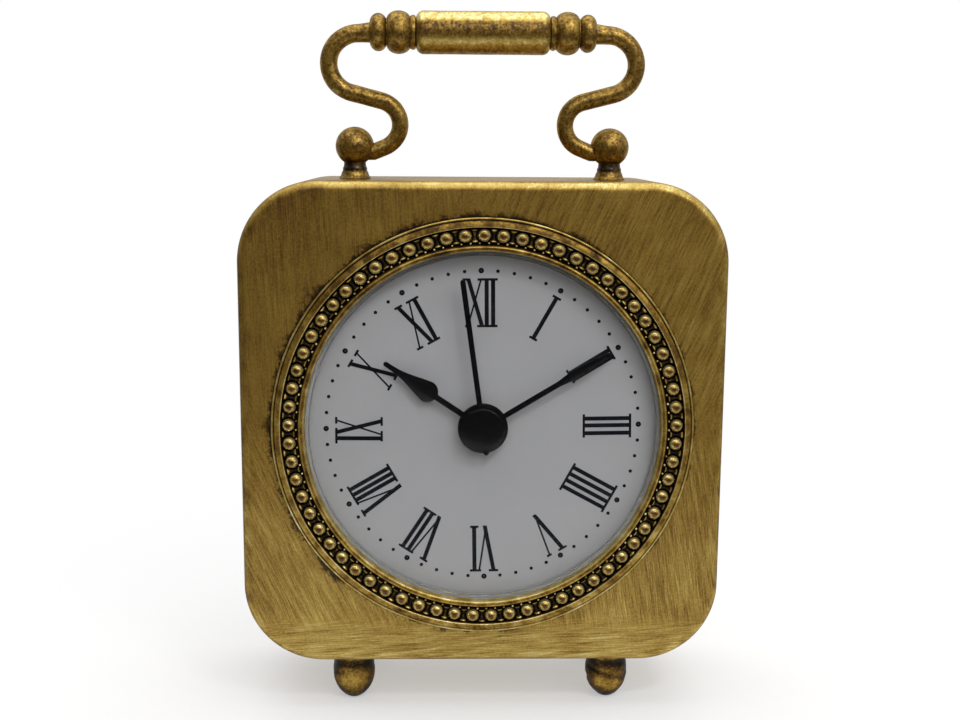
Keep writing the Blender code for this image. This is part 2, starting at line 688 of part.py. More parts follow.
def make_hour_hand():
    """A drop-shaped hand: thin arm, round bulb and straight taper to the tip."""
    arm = HOUR_ARM_WIDTH / 2
    tip = HOUR_TIP_WIDTH / 2
    meet = math.degrees(math.acos(arm / HOUR_BULB_RADIUS)) - 12
    reach = HOUR_LENGTH - HOUR_BULB_CENTRE
    tangent = math.degrees(math.asin((HOUR_BULB_RADIUS - tip) / reach))
    right = [(arm, 0), (arm, HOUR_BULB_CENTRE - HOUR_BULB_RADIUS * 1.5)]
    right += arc(0, HOUR_BULB_CENTRE, HOUR_BULB_RADIUS, -meet, tangent, 7)
    right += [(tip, HOUR_LENGTH - tip), (tip / 2, HOUR_LENGTH)]
    outline = right + [(-x, z) for x, z in reversed(right)]
    front = HOUR_HAND_DEPTH
    hand = object_from("hour_hand", prism(outline, front, front + HAND_THICKNESS), black_lacquer())
    fuse(hand, rod(HUB_RADIUS, front, front + HAND_THICKNESS, TURNED_STEPS))
    cut(hand, rod(HOUR_PIPE_RADIUS + FIT, front - MM, front + 2 * MM, PIPE_STEPS))
    place(hand, clockwise=HOUR_ANGLE)


def make_minute_hand():
    """A long hand that widens to a lozenge before its point."""
    arm = MINUTE_ARM_WIDTH / 2
    right = [(arm, 0), (arm, MINUTE_LOZENGE_START), (MINUTE_LOZENGE_WIDTH / 2, MINUTE_LOZENGE_CENTRE)]
    right += [(MINUTE_TIP_WIDTH / 2, MINUTE_LENGTH)]
    outline = right + [(-x, z) for x, z in reversed(right)]
    front = MINUTE_HAND_DEPTH
    hand = object_from("minute_hand", prism(outline, front, front + HAND_THICKNESS), black_lacquer())
    fuse(hand, rod(HUB_RADIUS, front, front + HAND_THICKNESS, TURNED_STEPS))
    cut(hand, rod(MINUTE_PIPE_RADIUS + FIT, front - MM, front + 2 * MM, PIPE_STEPS))
    place(hand, clockwise=MINUTE_ANGLE)


def make_second_hand():
    """A straight baton with round ends, under a domed cap that hides the hub."""
    half = SECOND_WIDTH / 2
    outline = arc(0, SECOND_LENGTH - half, half, 0, 180, 4) + arc(0, half - SECOND_TAIL, half, 180, 360, 4)
    front = SECOND_HAND_DEPTH
    hand = object_from("second_hand", prism(outline, front, front + HAND_THICKNESS), black_lacquer())
    back = front + HAND_THICKNESS
    face = back - CAP_HEIGHT
    cap = [(0, face), (CAP_RADIUS - CAP_EDGE, face + CAP_EDGE / 3), (CAP_RADIUS, face + CAP_EDGE)]
    fuse(hand, turned(cap + [(CAP_RADIUS, back), (0, back)], TURNED_STEPS))
    socket_end = back + FIT
    cut(hand, rod(SECOND_ARBOR_RADIUS + FIT, socket_end - CAP_HEIGHT + FIT, socket_end, SMALL_STEPS))
    place(hand, clockwise=SECOND_ANGLE)


# Handle

def bead_points(start, length, radius, neck, steps):
    """Profile of a turned bead: half an ellipse that bulges from its neck radius."""
    turns = [math.pi * i / steps for i in range(1, steps)]
    return [(neck + (radius - neck) * math.sin(turn) ** 0.6, start + length * (1 - math.cos(turn)) / 2)
            for turn in turns]


def grip_profile():
    """Half of the grip, from its middle to the end where an arm leaves it, as (radius, distance) points."""
    half = GRIP_LENGTH / 2
    rounding = GRIP_END_ROUNDING
    neck = GRIP_NECK_RADIUS
    points = arc(GRIP_RADIUS - rounding, half - rounding, rounding, 0, 90, 2)
    points += [(neck, half + 2 * SEAM), (neck + GRIP_NECK_SWELL, half + GRIP_NECK_LENGTH / 2)]
    points += [(neck, half + GRIP_NECK_LENGTH - 2 * SEAM)]
    start = half + GRIP_NECK_LENGTH
    points += bead_points(start, LARGE_BEAD_LENGTH, LARGE_BEAD_RADIUS, BEAD_NECK_RADIUS, 5)
    start += LARGE_BEAD_LENGTH
    points += [(BEAD_NECK_RADIUS, start), (BEAD_NECK_RADIUS, start + BEAD_NECK_LENGTH)]
    start += BEAD_NECK_LENGTH
    points += bead_points(start, SMALL_BEAD_LENGTH, SMALL_BEAD_RADIUS, ARM_TOP_RADIUS, 5)
    start += SMALL_BEAD_LENGTH
    return points + [(ARM_TOP_RADIUS * 0.9, start), (0, start)]


def arm_path(side):
    """Middle line of one arm, in the handle's plane, from inside the small bead down to the ball."""
    grip_z = BALL_HEIGHT + HANDLE_RISE
    ball_x = HANDLE_POST_SPACING / 2
    beads = LARGE_BEAD_LENGTH + BEAD_NECK_LENGTH + SMALL_BEAD_LENGTH
    grip_end = GRIP_LENGTH / 2 + GRIP_NECK_LENGTH + beads
    upper = Vector((grip_end + UPPER_BEND_OVERHANG, grip_z - UPPER_BEND_RADIUS))
    lower = Vector((ball_x - LOWER_BEND_INSET, BALL_HEIGHT - ARM_DROP + LOWER_BEND_RADIUS))
    between = lower - upper
    heading = math.degrees(math.atan2(between.y, between.x))
    swing = math.degrees(math.asin((UPPER_BEND_RADIUS + LOWER_BEND_RADIUS) / between.length))
    leave = heading - swing
    points = [(grip_end - ARM_TENON, grip_z)]
    points += arc(upper.x, upper.y, UPPER_BEND_RADIUS, 90, leave + 90, 8)
    points += arc(lower.x, lower.y, LOWER_BEND_RADIUS, leave + 270, 270, 8)
    points += [(ball_x, BALL_HEIGHT - ARM_DROP)]
    return [(side * x, z) for x, z in points]


def arm_shape(side):
    """One arm as a round bar along its middle line, tapering slightly towards the ball."""
    path = arm_path(side)
    curve = bpy.data.curves.new("arm", "CURVE")
    curve.dimensions = "3D"
    curve.bevel_depth = ARM_TOP_RADIUS
    curve.bevel_resolution = 2
    curve.use_fill_caps = True
    line = curve.splines.new("POLY")
    line.points.add(len(path) - 1)
    for number, (x, z) in enumerate(path):
        line.points[number].co = (x, 0, z, 1)
        share = number / (len(path) - 1)
        line.points[number].radius = 1 + (ARM_END_RADIUS / ARM_TOP_RADIUS - 1) * share
    bar = bpy.data.objects.new("arm", curve)
    bpy.context.scene.collection.objects.link(bar)
    mesh = bpy.data.meshes.new_from_object(bar.evaluated_get(bpy.context.evaluated_depsgraph_get()))
    shape = bmesh.new()
    shape.from_mesh(mesh)
    bpy.data.meshes.remove(mesh)
    bpy.data.objects.remove(bar)
    bpy.data.curves.remove(curve)
    bmesh.ops.remove_doubles(shape, verts=shape.verts, dist=MM / 1000)
    bmesh.ops.recalc_face_normals(shape, faces=shape.faces)
    return shape


def post_profile():
    """A ball on a flared neck, from its flat foot up to the pole."""
    foot = FIT
    neck_end = math.degrees(math.acos(POST_NECK_RADIUS / BALL_RADIUS))
    neck_z = BALL_HEIGHT - BALL_RADIUS * math.sin(math.radians(neck_end))
    flange_z = foot + POST_FLANGE_THICKNESS
    points = [(0, foot), (POST_FLANGE_RADIUS, foot), (POST_FLANGE_RADIUS, flange_z)]
    for share in (0.35, 0.7):
        flare = (1 - share) ** 2
        radius = POST_NECK_RADIUS + (POST_FLANGE_RADIUS - POST_NECK_RADIUS) * flare * 0.8
        points.append((radius, flange_z + (neck_z - flange_z) * share))
    points += arc(0, BALL_HEIGHT, BALL_RADIUS, -neck_end, 90, 6)[:-1]
    return points + [(0, BALL_HEIGHT + BALL_RADIUS)]


def make_handle():
    """One casting: turned grip with two beads at each end, two S-shaped arms and a ball post under each."""
    half = grip_profile()
    whole = [(radius, -along) for radius, along in reversed(half)] + half
    grip_z = BALL_HEIGHT + HANDLE_RISE
    handle = object_from("handle", shifted(turned(whole, HANDLE_STEPS, "X"), z=grip_z), antique_brass())
    for side in (-1, 1):
        x = side * HANDLE_POST_SPACING / 2
        fuse(handle, arm_shape(side), shifted(turned(post_profile(), POST_STEPS, "Z"), x))
        cut(handle, shifted(rod(SCREW_RADIUS + FIT, -MM, SCREW_REACH + FIT, ARBOR_STEPS, "Z"), x))
    place(handle, 0, CASE_TOP, HANDLE_DEPTH, sharp=50)
    length = CASE_WALL + FIT + SCREW_REACH
    for name, side in (("left", -1), ("right", 1)):
        profile = screw_profile(SCREW_RADIUS, SCREW_HEAD_RADIUS, SCREW_HEAD_HEIGHT, length)
        upside = [(radius, -along) for radius, along in reversed(profile)]
        screw = object_from("handle_screw_" + name, turned(upside, ARBOR_STEPS, "Z"), bright_steel())
        place(screw, side * HANDLE_POST_SPACING / 2, CASE_TOP - CASE_WALL - FIT, HANDLE_DEPTH)


# Feet

def foot_profile():
    """A bun foot: flat sole, egg-shaped ball, slight waist and a collar under the case."""
    top = FOOT_HEIGHT - FIT
    drop = math.degrees(math.acos(FOOT_FLAT_RADIUS / FOOT_RADIUS))
    depth = FOOT_EQUATOR / math.sin(math.radians(drop))
    points = [(0, 0)]
    for i in range(5):
        turn = math.radians(-drop + drop * i / 4)
        points.append((FOOT_RADIUS * math.cos(turn), FOOT_EQUATOR + depth * math.sin(turn)))
    rise = FOOT_HEIGHT - FOOT_WAIST_DROP - FOOT_EQUATOR
    for share in (0.6, 1.0):
        radius = FOOT_RADIUS - (FOOT_RADIUS - FOOT_WAIST_RADIUS) * share ** 2
        points.append((radius, FOOT_EQUATOR + rise * share))
    return points + [(FOOT_RADIUS, top - FOOT_COLLAR_HEIGHT), (FOOT_RADIUS, top), (0, top)]


def make_feet():
    length = CASE_WALL + FIT + SCREW_REACH
    bore_start = FOOT_HEIGHT - FIT - SCREW_REACH - FIT
    for row, depth in FOOT_DEPTHS:
        for name, side in (("left", -1), ("right", 1)):
            x = side * FOOT_SPACING / 2
            place_name = row + "_" + name
            foot = object_from("foot_" + place_name, turned(foot_profile(), POST_STEPS, "Z"), antique_brass())
            cut(foot, rod(SCREW_RADIUS + FIT, bore_start, FOOT_HEIGHT + MM, ARBOR_STEPS, "Z"))
            place(foot, x, CASE_BOTTOM - FOOT_HEIGHT, depth, sharp=50)
            profile = screw_profile(SCREW_RADIUS, SCREW_HEAD_RADIUS, SCREW_HEAD_HEIGHT, length)
            screw = object_from("foot_screw_" + place_name, turned(profile, ARBOR_STEPS, "Z"), bright_steel())
            place(screw, x, CASE_BOTTOM + CASE_WALL + FIT, depth)


# Gear train

MOTION_AXIS = Vector(polar(MOTION_DISTANCE, MOTION_DIRECTION))
THIRD_AXIS = Vector(polar(TIME_DISTANCE, TIME_DIRECTION))
STEP_AXIS = Vector(polar(STEP_DISTANCE, STEP_DIRECTION))
ROTOR_AXIS = STEP_AXIS + Vector(polar(ROTOR_DISTANCE, ROTOR_DIRECTION))
SETTING_DISTANCE = MOTION_DISTANCE * (SETTING_PINION_LEAVES + MOTION_WHEEL_TEETH) / (
    MINUTE_PINION_LEAVES + MOTION_WHEEL_TEETH)
SETTING_AXIS = MOTION_AXIS + Vector(polar(SETTING_DISTANCE, SETTING_DIRECTION))
MOTION_MODULE = 2 * MOTION_DISTANCE / (MINUTE_PINION_LEAVES + MOTION_WHEEL_TEETH)
HOUR_MODULE = 2 * MOTION_DISTANCE / (MOTION_PINION_LEAVES + HOUR_WHEEL_TEETH)
THIRD_MODULE = 2 * TIME_DISTANCE / (SECOND_PINION_LEAVES + THIRD_WHEEL_TEETH)
CENTRE_MODULE = 2 * TIME_DISTANCE / (THIRD_PINION_LEAVES + CENTRE_WHEEL_TEETH)
SECOND_MODULE = 2 * STEP_DISTANCE / (STEP_PINION_LEAVES + SECOND_WHEEL_TEETH)
STEP_MODULE = 2 * ROTOR_DISTANCE / (ROTOR_PINION_LEAVES + STEP_WHEEL_TEETH)
PIVOT_IN_FRONT = MOVEMENT_FRONT + MOVEMENT_PLATE - PIVOT_DEPTH
PIVOT_IN_BACK = MOVEMENT_BACK - MOVEMENT_PLATE + PIVOT_DEPTH
BRIDGE_FRONT = MOVEMENT_FRONT + BRIDGE_LAYER
BRIDGE_BACK = BRIDGE_FRONT + BRIDGE_THICKNESS


def wheel_at(layer, teeth, module, phase):
    """A wheel's toothed disc in its layer of the movement."""
    front = MOVEMENT_FRONT + layer
    return tooth_ring(teeth, module, phase, front, front + WHEEL_THICKNESS)


def pinion_at(layer, leaves, module, phase):
    """A pinion, a little wider than the wheel that it meshes with."""
    front = MOVEMENT_FRONT + layer - PINION_OVERLAP
    return tooth_ring(leaves, module, phase, front, front + WHEEL_THICKNESS + 2 * PINION_OVERLAP)


def make_motion_work():
    """Minute pipe with its pinion, motion wheel, hour wheel on its pipe and the setting knob on its shaft."""
    plastic = white_plastic()
    minute_front = MINUTE_HAND_DEPTH - PIPE_PROUD
    minute_back = MOVEMENT_FRONT + CENTRE_LAYER + WHEEL_THICKNESS + PINION_OVERLAP
    pipe = object_from("minute_pipe", rod(MINUTE_PIPE_RADIUS, minute_front, minute_back, PIPE_STEPS), plastic)
    fuse(pipe, pinion_at(MOTION_LAYER, MINUTE_PINION_LEAVES, MOTION_MODULE, 0))
    cut(pipe, rod(MINUTE_PIPE_BORE, minute_front - MM, minute_back + MM, PIPE_STEPS))
    place(pipe)

    phase = mating_phase(MINUTE_PINION_LEAVES, 0, MOTION_WHEEL_TEETH, MOTION_DIRECTION)
    arbor = rod(ARBOR_RADIUS, PIVOT_IN_FRONT, BRIDGE_FRONT + BRIDGE_PIVOT_DEPTH, ARBOR_STEPS)
    wheel = object_from("motion_wheel", arbor, plastic)
    fuse(wheel, wheel_at(MOTION_LAYER, MOTION_WHEEL_TEETH, MOTION_MODULE, phase))
    fuse(wheel, pinion_at(HOUR_LAYER, MOTION_PINION_LEAVES, HOUR_MODULE, 0))
    place(wheel, MOTION_AXIS.x, MOTION_AXIS.y)

    hour_phase = mating_phase(MOTION_PINION_LEAVES, 0, HOUR_WHEEL_TEETH, MOTION_DIRECTION + math.pi)
    hour_front = HOUR_HAND_DEPTH - PIPE_PROUD
    hour_back = MOVEMENT_FRONT + HOUR_LAYER + WHEEL_THICKNESS + PINION_OVERLAP
    hour = object_from("hour_wheel", rod(HOUR_PIPE_RADIUS, hour_front, hour_back, PIPE_STEPS), plastic)
    fuse(hour, wheel_at(HOUR_LAYER, HOUR_WHEEL_TEETH, HOUR_MODULE, hour_phase))
    cut(hour, rod(HOUR_PIPE_BORE, hour_front - MM, hour_back + MM, PIPE_STEPS))
    place(hour)

    knob_front = COVER_BACK + FIT
    shaft = rod(KNOB_SHAFT_RADIUS, PIVOT_IN_FRONT, knob_front + MM, SMALL_STEPS)
    knob = object_from("setting_knob", shaft, black_plastic())
    setting_phase = mating_phase(MOTION_WHEEL_TEETH, phase, SETTING_PINION_LEAVES, SETTING_DIRECTION)
    fuse(knob, pinion_at(MOTION_LAYER, SETTING_PINION_LEAVES, MOTION_MODULE, setting_phase))
    flutes = []
    for number in range(KNOB_FLUTES):
        middle = FULL_TURN * number / KNOB_FLUTES
        for depth, share in ((KNOB_FLUTE_DEPTH, -0.32), (0, -0.18), (0, 0.18), (KNOB_FLUTE_DEPTH, 0.32)):
            flutes.append(polar(KNOB_RADIUS - depth, middle + share * FULL_TURN / KNOB_FLUTES))
    fuse(knob, prism(flutes, knob_front, knob_front + KNOB_LENGTH))
    place(knob, SETTING_AXIS.x, SETTING_AXIS.y)


def make_time_train():
    """Centre wheel, third wheel, seconds wheel, intermediate wheel and the magnetic rotor."""
    plastic = white_plastic()
    centre_phase = mating_phase(THIRD_PINION_LEAVES, 0, CENTRE_WHEEL_TEETH, TIME_DIRECTION + math.pi)
    centre = object_from(
        "centre_wheel", wheel_at(CENTRE_LAYER, CENTRE_WHEEL_TEETH, CENTRE_MODULE, centre_phase), plastic)
    cut(centre, rod(MINUTE_PIPE_RADIUS + FIT, MOVEMENT_FRONT, MOVEMENT_BACK, PIPE_STEPS))
    place(centre)

    arbor = rod(ARBOR_RADIUS, PIVOT_IN_FRONT, BRIDGE_FRONT + BRIDGE_PIVOT_DEPTH, ARBOR_STEPS)
    third = object_from("third_wheel", arbor, plastic)
    third_phase = mating_phase(SECOND_PINION_LEAVES, 0, THIRD_WHEEL_TEETH, TIME_DIRECTION)
    fuse(third, wheel_at(THIRD_LAYER, THIRD_WHEEL_TEETH, THIRD_MODULE, third_phase))
    fuse(third, pinion_at(CENTRE_LAYER, THIRD_PINION_LEAVES, CENTRE_MODULE, 0))
    place(third, THIRD_AXIS.x, THIRD_AXIS.y)

    arbor_front = SECOND_HAND_DEPTH + HAND_THICKNESS - CAP_HEIGHT + 3 * FIT
    arbor = rod(SECOND_ARBOR_RADIUS, arbor_front, PIVOT_IN_BACK, SMALL_STEPS)
    seconds = object_from("seconds_wheel", arbor, plastic)
    second_phase = mating_phase(STEP_PINION_LEAVES, 0, SECOND_WHEEL_TEETH, STEP_DIRECTION + math.pi)
    fuse(seconds, wheel_at(SECOND_LAYER, SECOND_WHEEL_TEETH, SECOND_MODULE, second_phase))
    fuse(seconds, pinion_at(THIRD_LAYER, SECOND_PINION_LEAVES, THIRD_MODULE, 0))
    place(seconds)

    rear_arbor_front = BRIDGE_BACK - BRIDGE_PIVOT_DEPTH
    arbor = rod(ARBOR_RADIUS, rear_arbor_front, PIVOT_IN_BACK, ARBOR_STEPS)
    step = object_from("intermediate_wheel", arbor, plastic)
    step_phase = mating_phase(ROTOR_PINION_LEAVES, 0, STEP_WHEEL_TEETH, ROTOR_DIRECTION + math.pi)
    fuse(step, wheel_at(STEP_LAYER, STEP_WHEEL_TEETH, STEP_MODULE, step_phase))
    fuse(step, pinion_at(SECOND_LAYER, STEP_PINION_LEAVES, SECOND_MODULE, 0))
    place(step, STEP_AXIS.x, STEP_AXIS.y)

    magnet_front = MOVEMENT_FRONT + ROTOR_LAYER
    arbor = rod(ARBOR_RADIUS, rear_arbor_front, PIVOT_IN_BACK, ARBOR_STEPS)
    rotor = object_from("rotor", arbor, paint("magnet_black", (0.05, 0.05, 0.055), 0.5, 0.3))
    fuse(rotor, pinion_at(STEP_LAYER, ROTOR_PINION_LEAVES, STEP_MODULE, 0))
    fuse(rotor, rod(ROTOR_MAGNET_RADIUS, magnet_front, magnet_front + ROTOR_MAGNET_THICKNESS, TURNED_STEPS))
    place(rotor, ROTOR_AXIS.x, ROTOR_AXIS.y)


# Movement housing and what it carries

BAY_WALL_TOP = BAY_WALL_HEIGHT + BAY_WALL_THICKNESS
SPLIT_DEPTH = MOVEMENT_FRONT + MOVEMENT_SPLIT
PLATE_INSIDE = MOVEMENT_FRONT + MOVEMENT_PLATE
BACK_INSIDE = MOVEMENT_BACK - MOVEMENT_PLATE
BRIDGE_POST_X = HOUSING_INNER - BRIDGE_POST_INSET
BRIDGE_POST_TOP = HOUSING_INNER - BRIDGE_POST_INSET
BRIDGE_POST_BOTTOM = BAY_WALL_TOP + BRIDGE_POST_INSET
BRIDGE_POSTS = [(side * BRIDGE_POST_X, z) for side in (-1, 1) for z in (BRIDGE_POST_TOP, BRIDGE_POST_BOTTOM)]
STATOR_FRONT = MOVEMENT_FRONT + ROTOR_LAYER + STATOR_SETBACK
STATOR_BACK = STATOR_FRONT + STATOR_THICKNESS
STATOR_BOTTOM = ROTOR_AXIS.y - ROTOR_MAGNET_RADIUS - STATOR_GAP - STATOR_RIM
LEAD_FRONT = BACK_INSIDE - FIT - CONTACT_THICKNESS
LEAD_HEIGHT = BAY_WALL_TOP + FIT
BOARD_BACK = LEAD_FRONT - FIT
BOARD_FRONT = BOARD_BACK - BOARD_THICKNESS
BOARD_LEFT = BOARD_X - BOARD_WIDTH / 2
BOARD_RIGHT = BOARD_X + BOARD_WIDTH / 2
BOARD_BOTTOM = BOARD_Z - BOARD_HEIGHT / 2
BOARD_TOP = BOARD_Z + BOARD_HEIGHT / 2
STATOR_PEGS = (
    (STATOR_LEFT + PEG_INSET, STATOR_BOTTOM + PEG_INSET),
    (STATOR_RIGHT - PEG_INSET, STATOR_TOP - PEG_INSET),
)
BOARD_PEGS = (
    (BOARD_LEFT + PEG_INSET, BOARD_TOP - PEG_INSET),
    (BOARD_RIGHT - PEG_INSET, BOARD_BOTTOM + PEG_INSET),
)
CELL_DEPTH = PLATE_INSIDE + FIT + CELL_RADIUS
NOTCH_CLEARANCE = 2 * FIT


def make_movement_front():
    """The front half: a plate with the hollow boss, its walls, the wall to the battery bay and the posts."""
    outer = rounded_rectangle(MOVEMENT_SIZE, MOVEMENT_SIZE, MOVEMENT_CORNER_RADIUS, 3)
    body = object_from("movement_front", prism(outer, MOVEMENT_FRONT, SPLIT_DEPTH), black_plastic())
    rim = (-HOUSING_INNER, HOUSING_INNER, PLATE_INSIDE, SPLIT_DEPTH + MM)
    cut(body, together([
        block(*rim, BAY_WALL_TOP, HOUSING_INNER),
        block(*rim, -HOUSING_INNER, BAY_WALL_HEIGHT),
    ]))
    boss_front = NUT_BACK - NUT_THICKNESS + BOSS_SETBACK
    post = (BRIDGE_POST_RADIUS, PEG_RADIUS, BRIDGE_FRONT - FIT, PLATE_INSIDE - MM / 2, BRIDGE_BACK)
    fuse(body, together([
        rod(BOSS_RADIUS, boss_front, MOVEMENT_FRONT + MOVEMENT_PLATE / 2, TURNED_STEPS),
        copies(lambda: stepped_post(*post), BRIDGE_POSTS),
    ]))
    pivot_end = PIVOT_IN_FRONT - FIT
    cut(body, together([
        rod(HOUR_PIPE_RADIUS + FIT, 0, PLATE_INSIDE + MM, PIPE_STEPS),
        copies(lambda: rod(ARBOR_RADIUS + FIT, pivot_end, PLATE_INSIDE + MM), (MOTION_AXIS, THIRD_AXIS)),
        copies(lambda: rod(KNOB_SHAFT_RADIUS + FIT, pivot_end, PLATE_INSIDE + MM), (SETTING_AXIS,)),
    ]))
    place(body)
    nut_outline = [polar(NUT_RADIUS, FULL_TURN * i / 6) for i in range(6)]
    nut = object_from("centre_nut", prism(nut_outline, NUT_BACK - NUT_THICKNESS, NUT_BACK), turned_brass())
    cut(nut, rod(BOSS_RADIUS + FIT, 0, MOVEMENT_FRONT, TURNED_STEPS))
    place(nut)


def make_movement_back():
    """The rear half: walls, a back over the gears, an open battery bay and seats for the stator and board."""
    outer = rounded_rectangle(MOVEMENT_SIZE, MOVEMENT_SIZE, MOVEMENT_CORNER_RADIUS, 3)
    front = SPLIT_DEPTH + FIT
    body = object_from("movement_back", prism(outer, front, MOVEMENT_BACK), black_plastic())
    sides = (-HOUSING_INNER, HOUSING_INNER, front - MM)
    cut(body, together([
        block(*sides, BACK_INSIDE, BAY_WALL_TOP, HOUSING_INNER),
        block(*sides, MOVEMENT_BACK + MM, -HOUSING_INNER, BAY_WALL_HEIGHT),
    ]))
    root = BACK_INSIDE + MM / 2
    stator_peg = (PEG_RADIUS, PEG_SEAT_RADIUS, STATOR_BACK + FIT, STATOR_FRONT, root, ARBOR_STEPS)
    board_peg = (PEG_RADIUS, PEG_SEAT_RADIUS, BOARD_BACK + FIT, BOARD_FRONT, root, ARBOR_STEPS)
    fuse(body, together([
        copies(lambda: stepped_post(*stator_peg), STATOR_PEGS),
        copies(lambda: stepped_post(*board_peg), BOARD_PEGS),
    ]))
    pivot_end = PIVOT_IN_BACK + FIT
    side = HOUSING_INNER - CONTACT_THICKNESS - NOTCH_CLEARANCE
    notch = (LEAD_FRONT - NOTCH_CLEARANCE, BACK_INSIDE, BAY_WALL_HEIGHT - MM, BAY_WALL_TOP + MM)
    cut(body, together([
        rod(SECOND_ARBOR_RADIUS + FIT, BACK_INSIDE - MM, pivot_end),
        copies(lambda: rod(ARBOR_RADIUS + FIT, BACK_INSIDE - MM, pivot_end), (STEP_AXIS, ROTOR_AXIS)),
        copies(lambda: rod(KNOB_SHAFT_RADIUS + FIT, BACK_INSIDE - MM, MOVEMENT_BACK + MM), (SETTING_AXIS,)),
        block(-HOUSING_INNER, -side, *notch),
        block(side, HOUSING_INNER, *notch),
    ]))
    place(body)


def make_bridge():
    """The middle plate: it carries the rear pivots of the front wheels and the front pivots of the rear."""
    side = HOUSING_INNER - FIT
    slab = block(-side, side, BRIDGE_FRONT, BRIDGE_BACK, BAY_WALL_TOP + FIT, side)
    bridge = object_from("gear_bridge", slab, white_plastic())
    ends = (BRIDGE_FRONT - MM, BRIDGE_BACK + MM)
    pinion_tip = SECOND_PINION_LEAVES * THIRD_MODULE / 2 + THIRD_MODULE
    arbors = (MOTION_AXIS, THIRD_AXIS, STEP_AXIS, ROTOR_AXIS)
    cut(bridge, together([
        rod(pinion_tip + FIT, *ends),
        copies(lambda: rod(PEG_RADIUS + FIT, *ends, ARBOR_STEPS), BRIDGE_POSTS),
        copies(lambda: rod(ARBOR_RADIUS + FIT, *ends, ARBOR_STEPS), arbors),
        copies(lambda: rod(KNOB_SHAFT_RADIUS + FIT, *ends), (SETTING_AXIS,)),
    ]))
    place(bridge)


def make_drive():
    """Stator plate with its core, the coil on that core, the circuit board and the crystal on it."""
    iron = paint("soft_iron", (0.45, 0.45, 0.47), 0.4, 1.0)
    sheet = block(STATOR_LEFT, STATOR_RIGHT, STATOR_FRONT, STATOR_BACK, STATOR_BOTTOM, STATOR_TOP)
    stator = object_from("stator", sheet, iron)
    coil_middle = STATOR_LEFT - FIT - COIL_LENGTH / 2
    core_end = coil_middle - COIL_LENGTH / 2 - CORE_END_LENGTH
    fuse(stator, block(
        core_end, STATOR_LEFT + MM, STATOR_FRONT + SEAM, STATOR_BACK - SEAM,
        COIL_HEIGHT - CORE_HALF_WIDTH, COIL_HEIGHT + CORE_HALF_WIDTH))
    ends = (STATOR_FRONT - MM, STATOR_BACK + MM)
    cut(stator, together([
        copies(lambda: rod(ROTOR_MAGNET_RADIUS + STATOR_GAP, *ends, TURNED_STEPS), (ROTOR_AXIS,)),
        copies(lambda: rod(PEG_RADIUS + FIT, *ends, ARBOR_STEPS), STATOR_PEGS),
    ]))
    place(stator)

    half = COIL_LENGTH / 2
    bore = CORE_HALF_WIDTH + 2 * FIT
    inside = half - COIL_FLANGE
    section = [(bore, -half), (COIL_RADIUS, -half), (COIL_RADIUS, -inside), (COIL_WINDING_RADIUS, -inside)]
    section += [(radius, -along) for radius, along in reversed(section)]
    copper = paint("copper_wire", (0.62, 0.27, 0.12), 0.35, 0.9)
    coil = object_from("coil", turned(section, TURNED_STEPS, "X"), copper)
    place(coil, coil_middle, COIL_HEIGHT, (STATOR_FRONT + STATOR_BACK) / 2)

    green = paint("board_green", (0.05, 0.22, 0.10), 0.45, 0.0)
    slab = block(BOARD_LEFT, BOARD_RIGHT, BOARD_FRONT, BOARD_BACK, BOARD_BOTTOM, BOARD_TOP)
    board = object_from("circuit_board", slab, green)
    ends = (BOARD_FRONT - MM, BOARD_BACK + MM)
    cut(board, copies(lambda: rod(PEG_RADIUS + FIT, *ends, ARBOR_STEPS), BOARD_PEGS))
    place(board)
    can = rod(CRYSTAL_RADIUS, -CRYSTAL_LENGTH / 2, CRYSTAL_LENGTH / 2, SMALL_STEPS, "X")
    crystal = object_from("quartz_crystal", can, bright_steel())
    place(crystal, BOARD_X, BOARD_Z, BOARD_FRONT - FIT - CRYSTAL_RADIUS)


def make_battery():
    """The cell, and its two contact strips, whose tails run to the back of the circuit board."""
    half = CELL_LENGTH / 2
    edge = CELL_EDGE
    tip = half + CELL_NUB_LENGTH
    section = [
        (0, -half), (CELL_RADIUS - edge, -half), (CELL_RADIUS, edge - half), (CELL_RADIUS, half - edge),
        (CELL_RADIUS - edge, half), (CELL_NUB_RADIUS, half), (CELL_NUB_RADIUS, tip), (0, tip),
    ]
    wrap = paint("cell_wrap", (0.10, 0.11, 0.13), 0.35, 0.2)
    cell = object_from("battery", turned(section, TURNED_STEPS, "X"), wrap)
    place(cell, -CELL_NUB_LENGTH / 2, CELL_HEIGHT, CELL_DEPTH)

    steel = bright_steel()
    outer = HOUSING_INNER - FIT
    inner = outer - CONTACT_THICKNESS
    low = CELL_HEIGHT - CONTACT_WIDTH / 2
    high = BAY_WALL_HEIGHT - FIT
    lead_back = LEAD_FRONT + CONTACT_THICKNESS
    top = LEAD_HEIGHT + CONTACT_LEAD_WIDTH
    plate_front = CELL_DEPTH - CONTACT_WIDTH / 2
    tails = (BOARD_LEFT + PEG_INSET + CONTACT_LEAD_SPACING, BOARD_LEFT + PEG_INSET)
    for name, side, tail in (("contact_positive", 1, tails[0]), ("contact_negative", -1, tails[1])):
        ends = sorted((side * inner, side * outer))
        strip = object_from(name, block(*ends, plate_front, lead_back, low, high), steel)
        fuse(strip, block(*ends, LEAD_FRONT, lead_back, high - MM, top))
        far = tail if side > 0 else tail + CONTACT_LEAD_WIDTH
        run = sorted((side * (outer - SEAM), far))
        fuse(strip, block(*run, LEAD_FRONT + SEAM, lead_back - SEAM, LEAD_HEIGHT + SEAM, top - SEAM))
        fuse(strip, block(
            tail + SEAM, tail + CONTACT_LEAD_WIDTH - SEAM, LEAD_FRONT + 2 * SEAM, lead_back - 2 * SEAM,
            LEAD_HEIGHT + 2 * SEAM, BOARD_BOTTOM + CONTACT_LEAD_LAP))
        place(strip)


# Rear cover, battery door

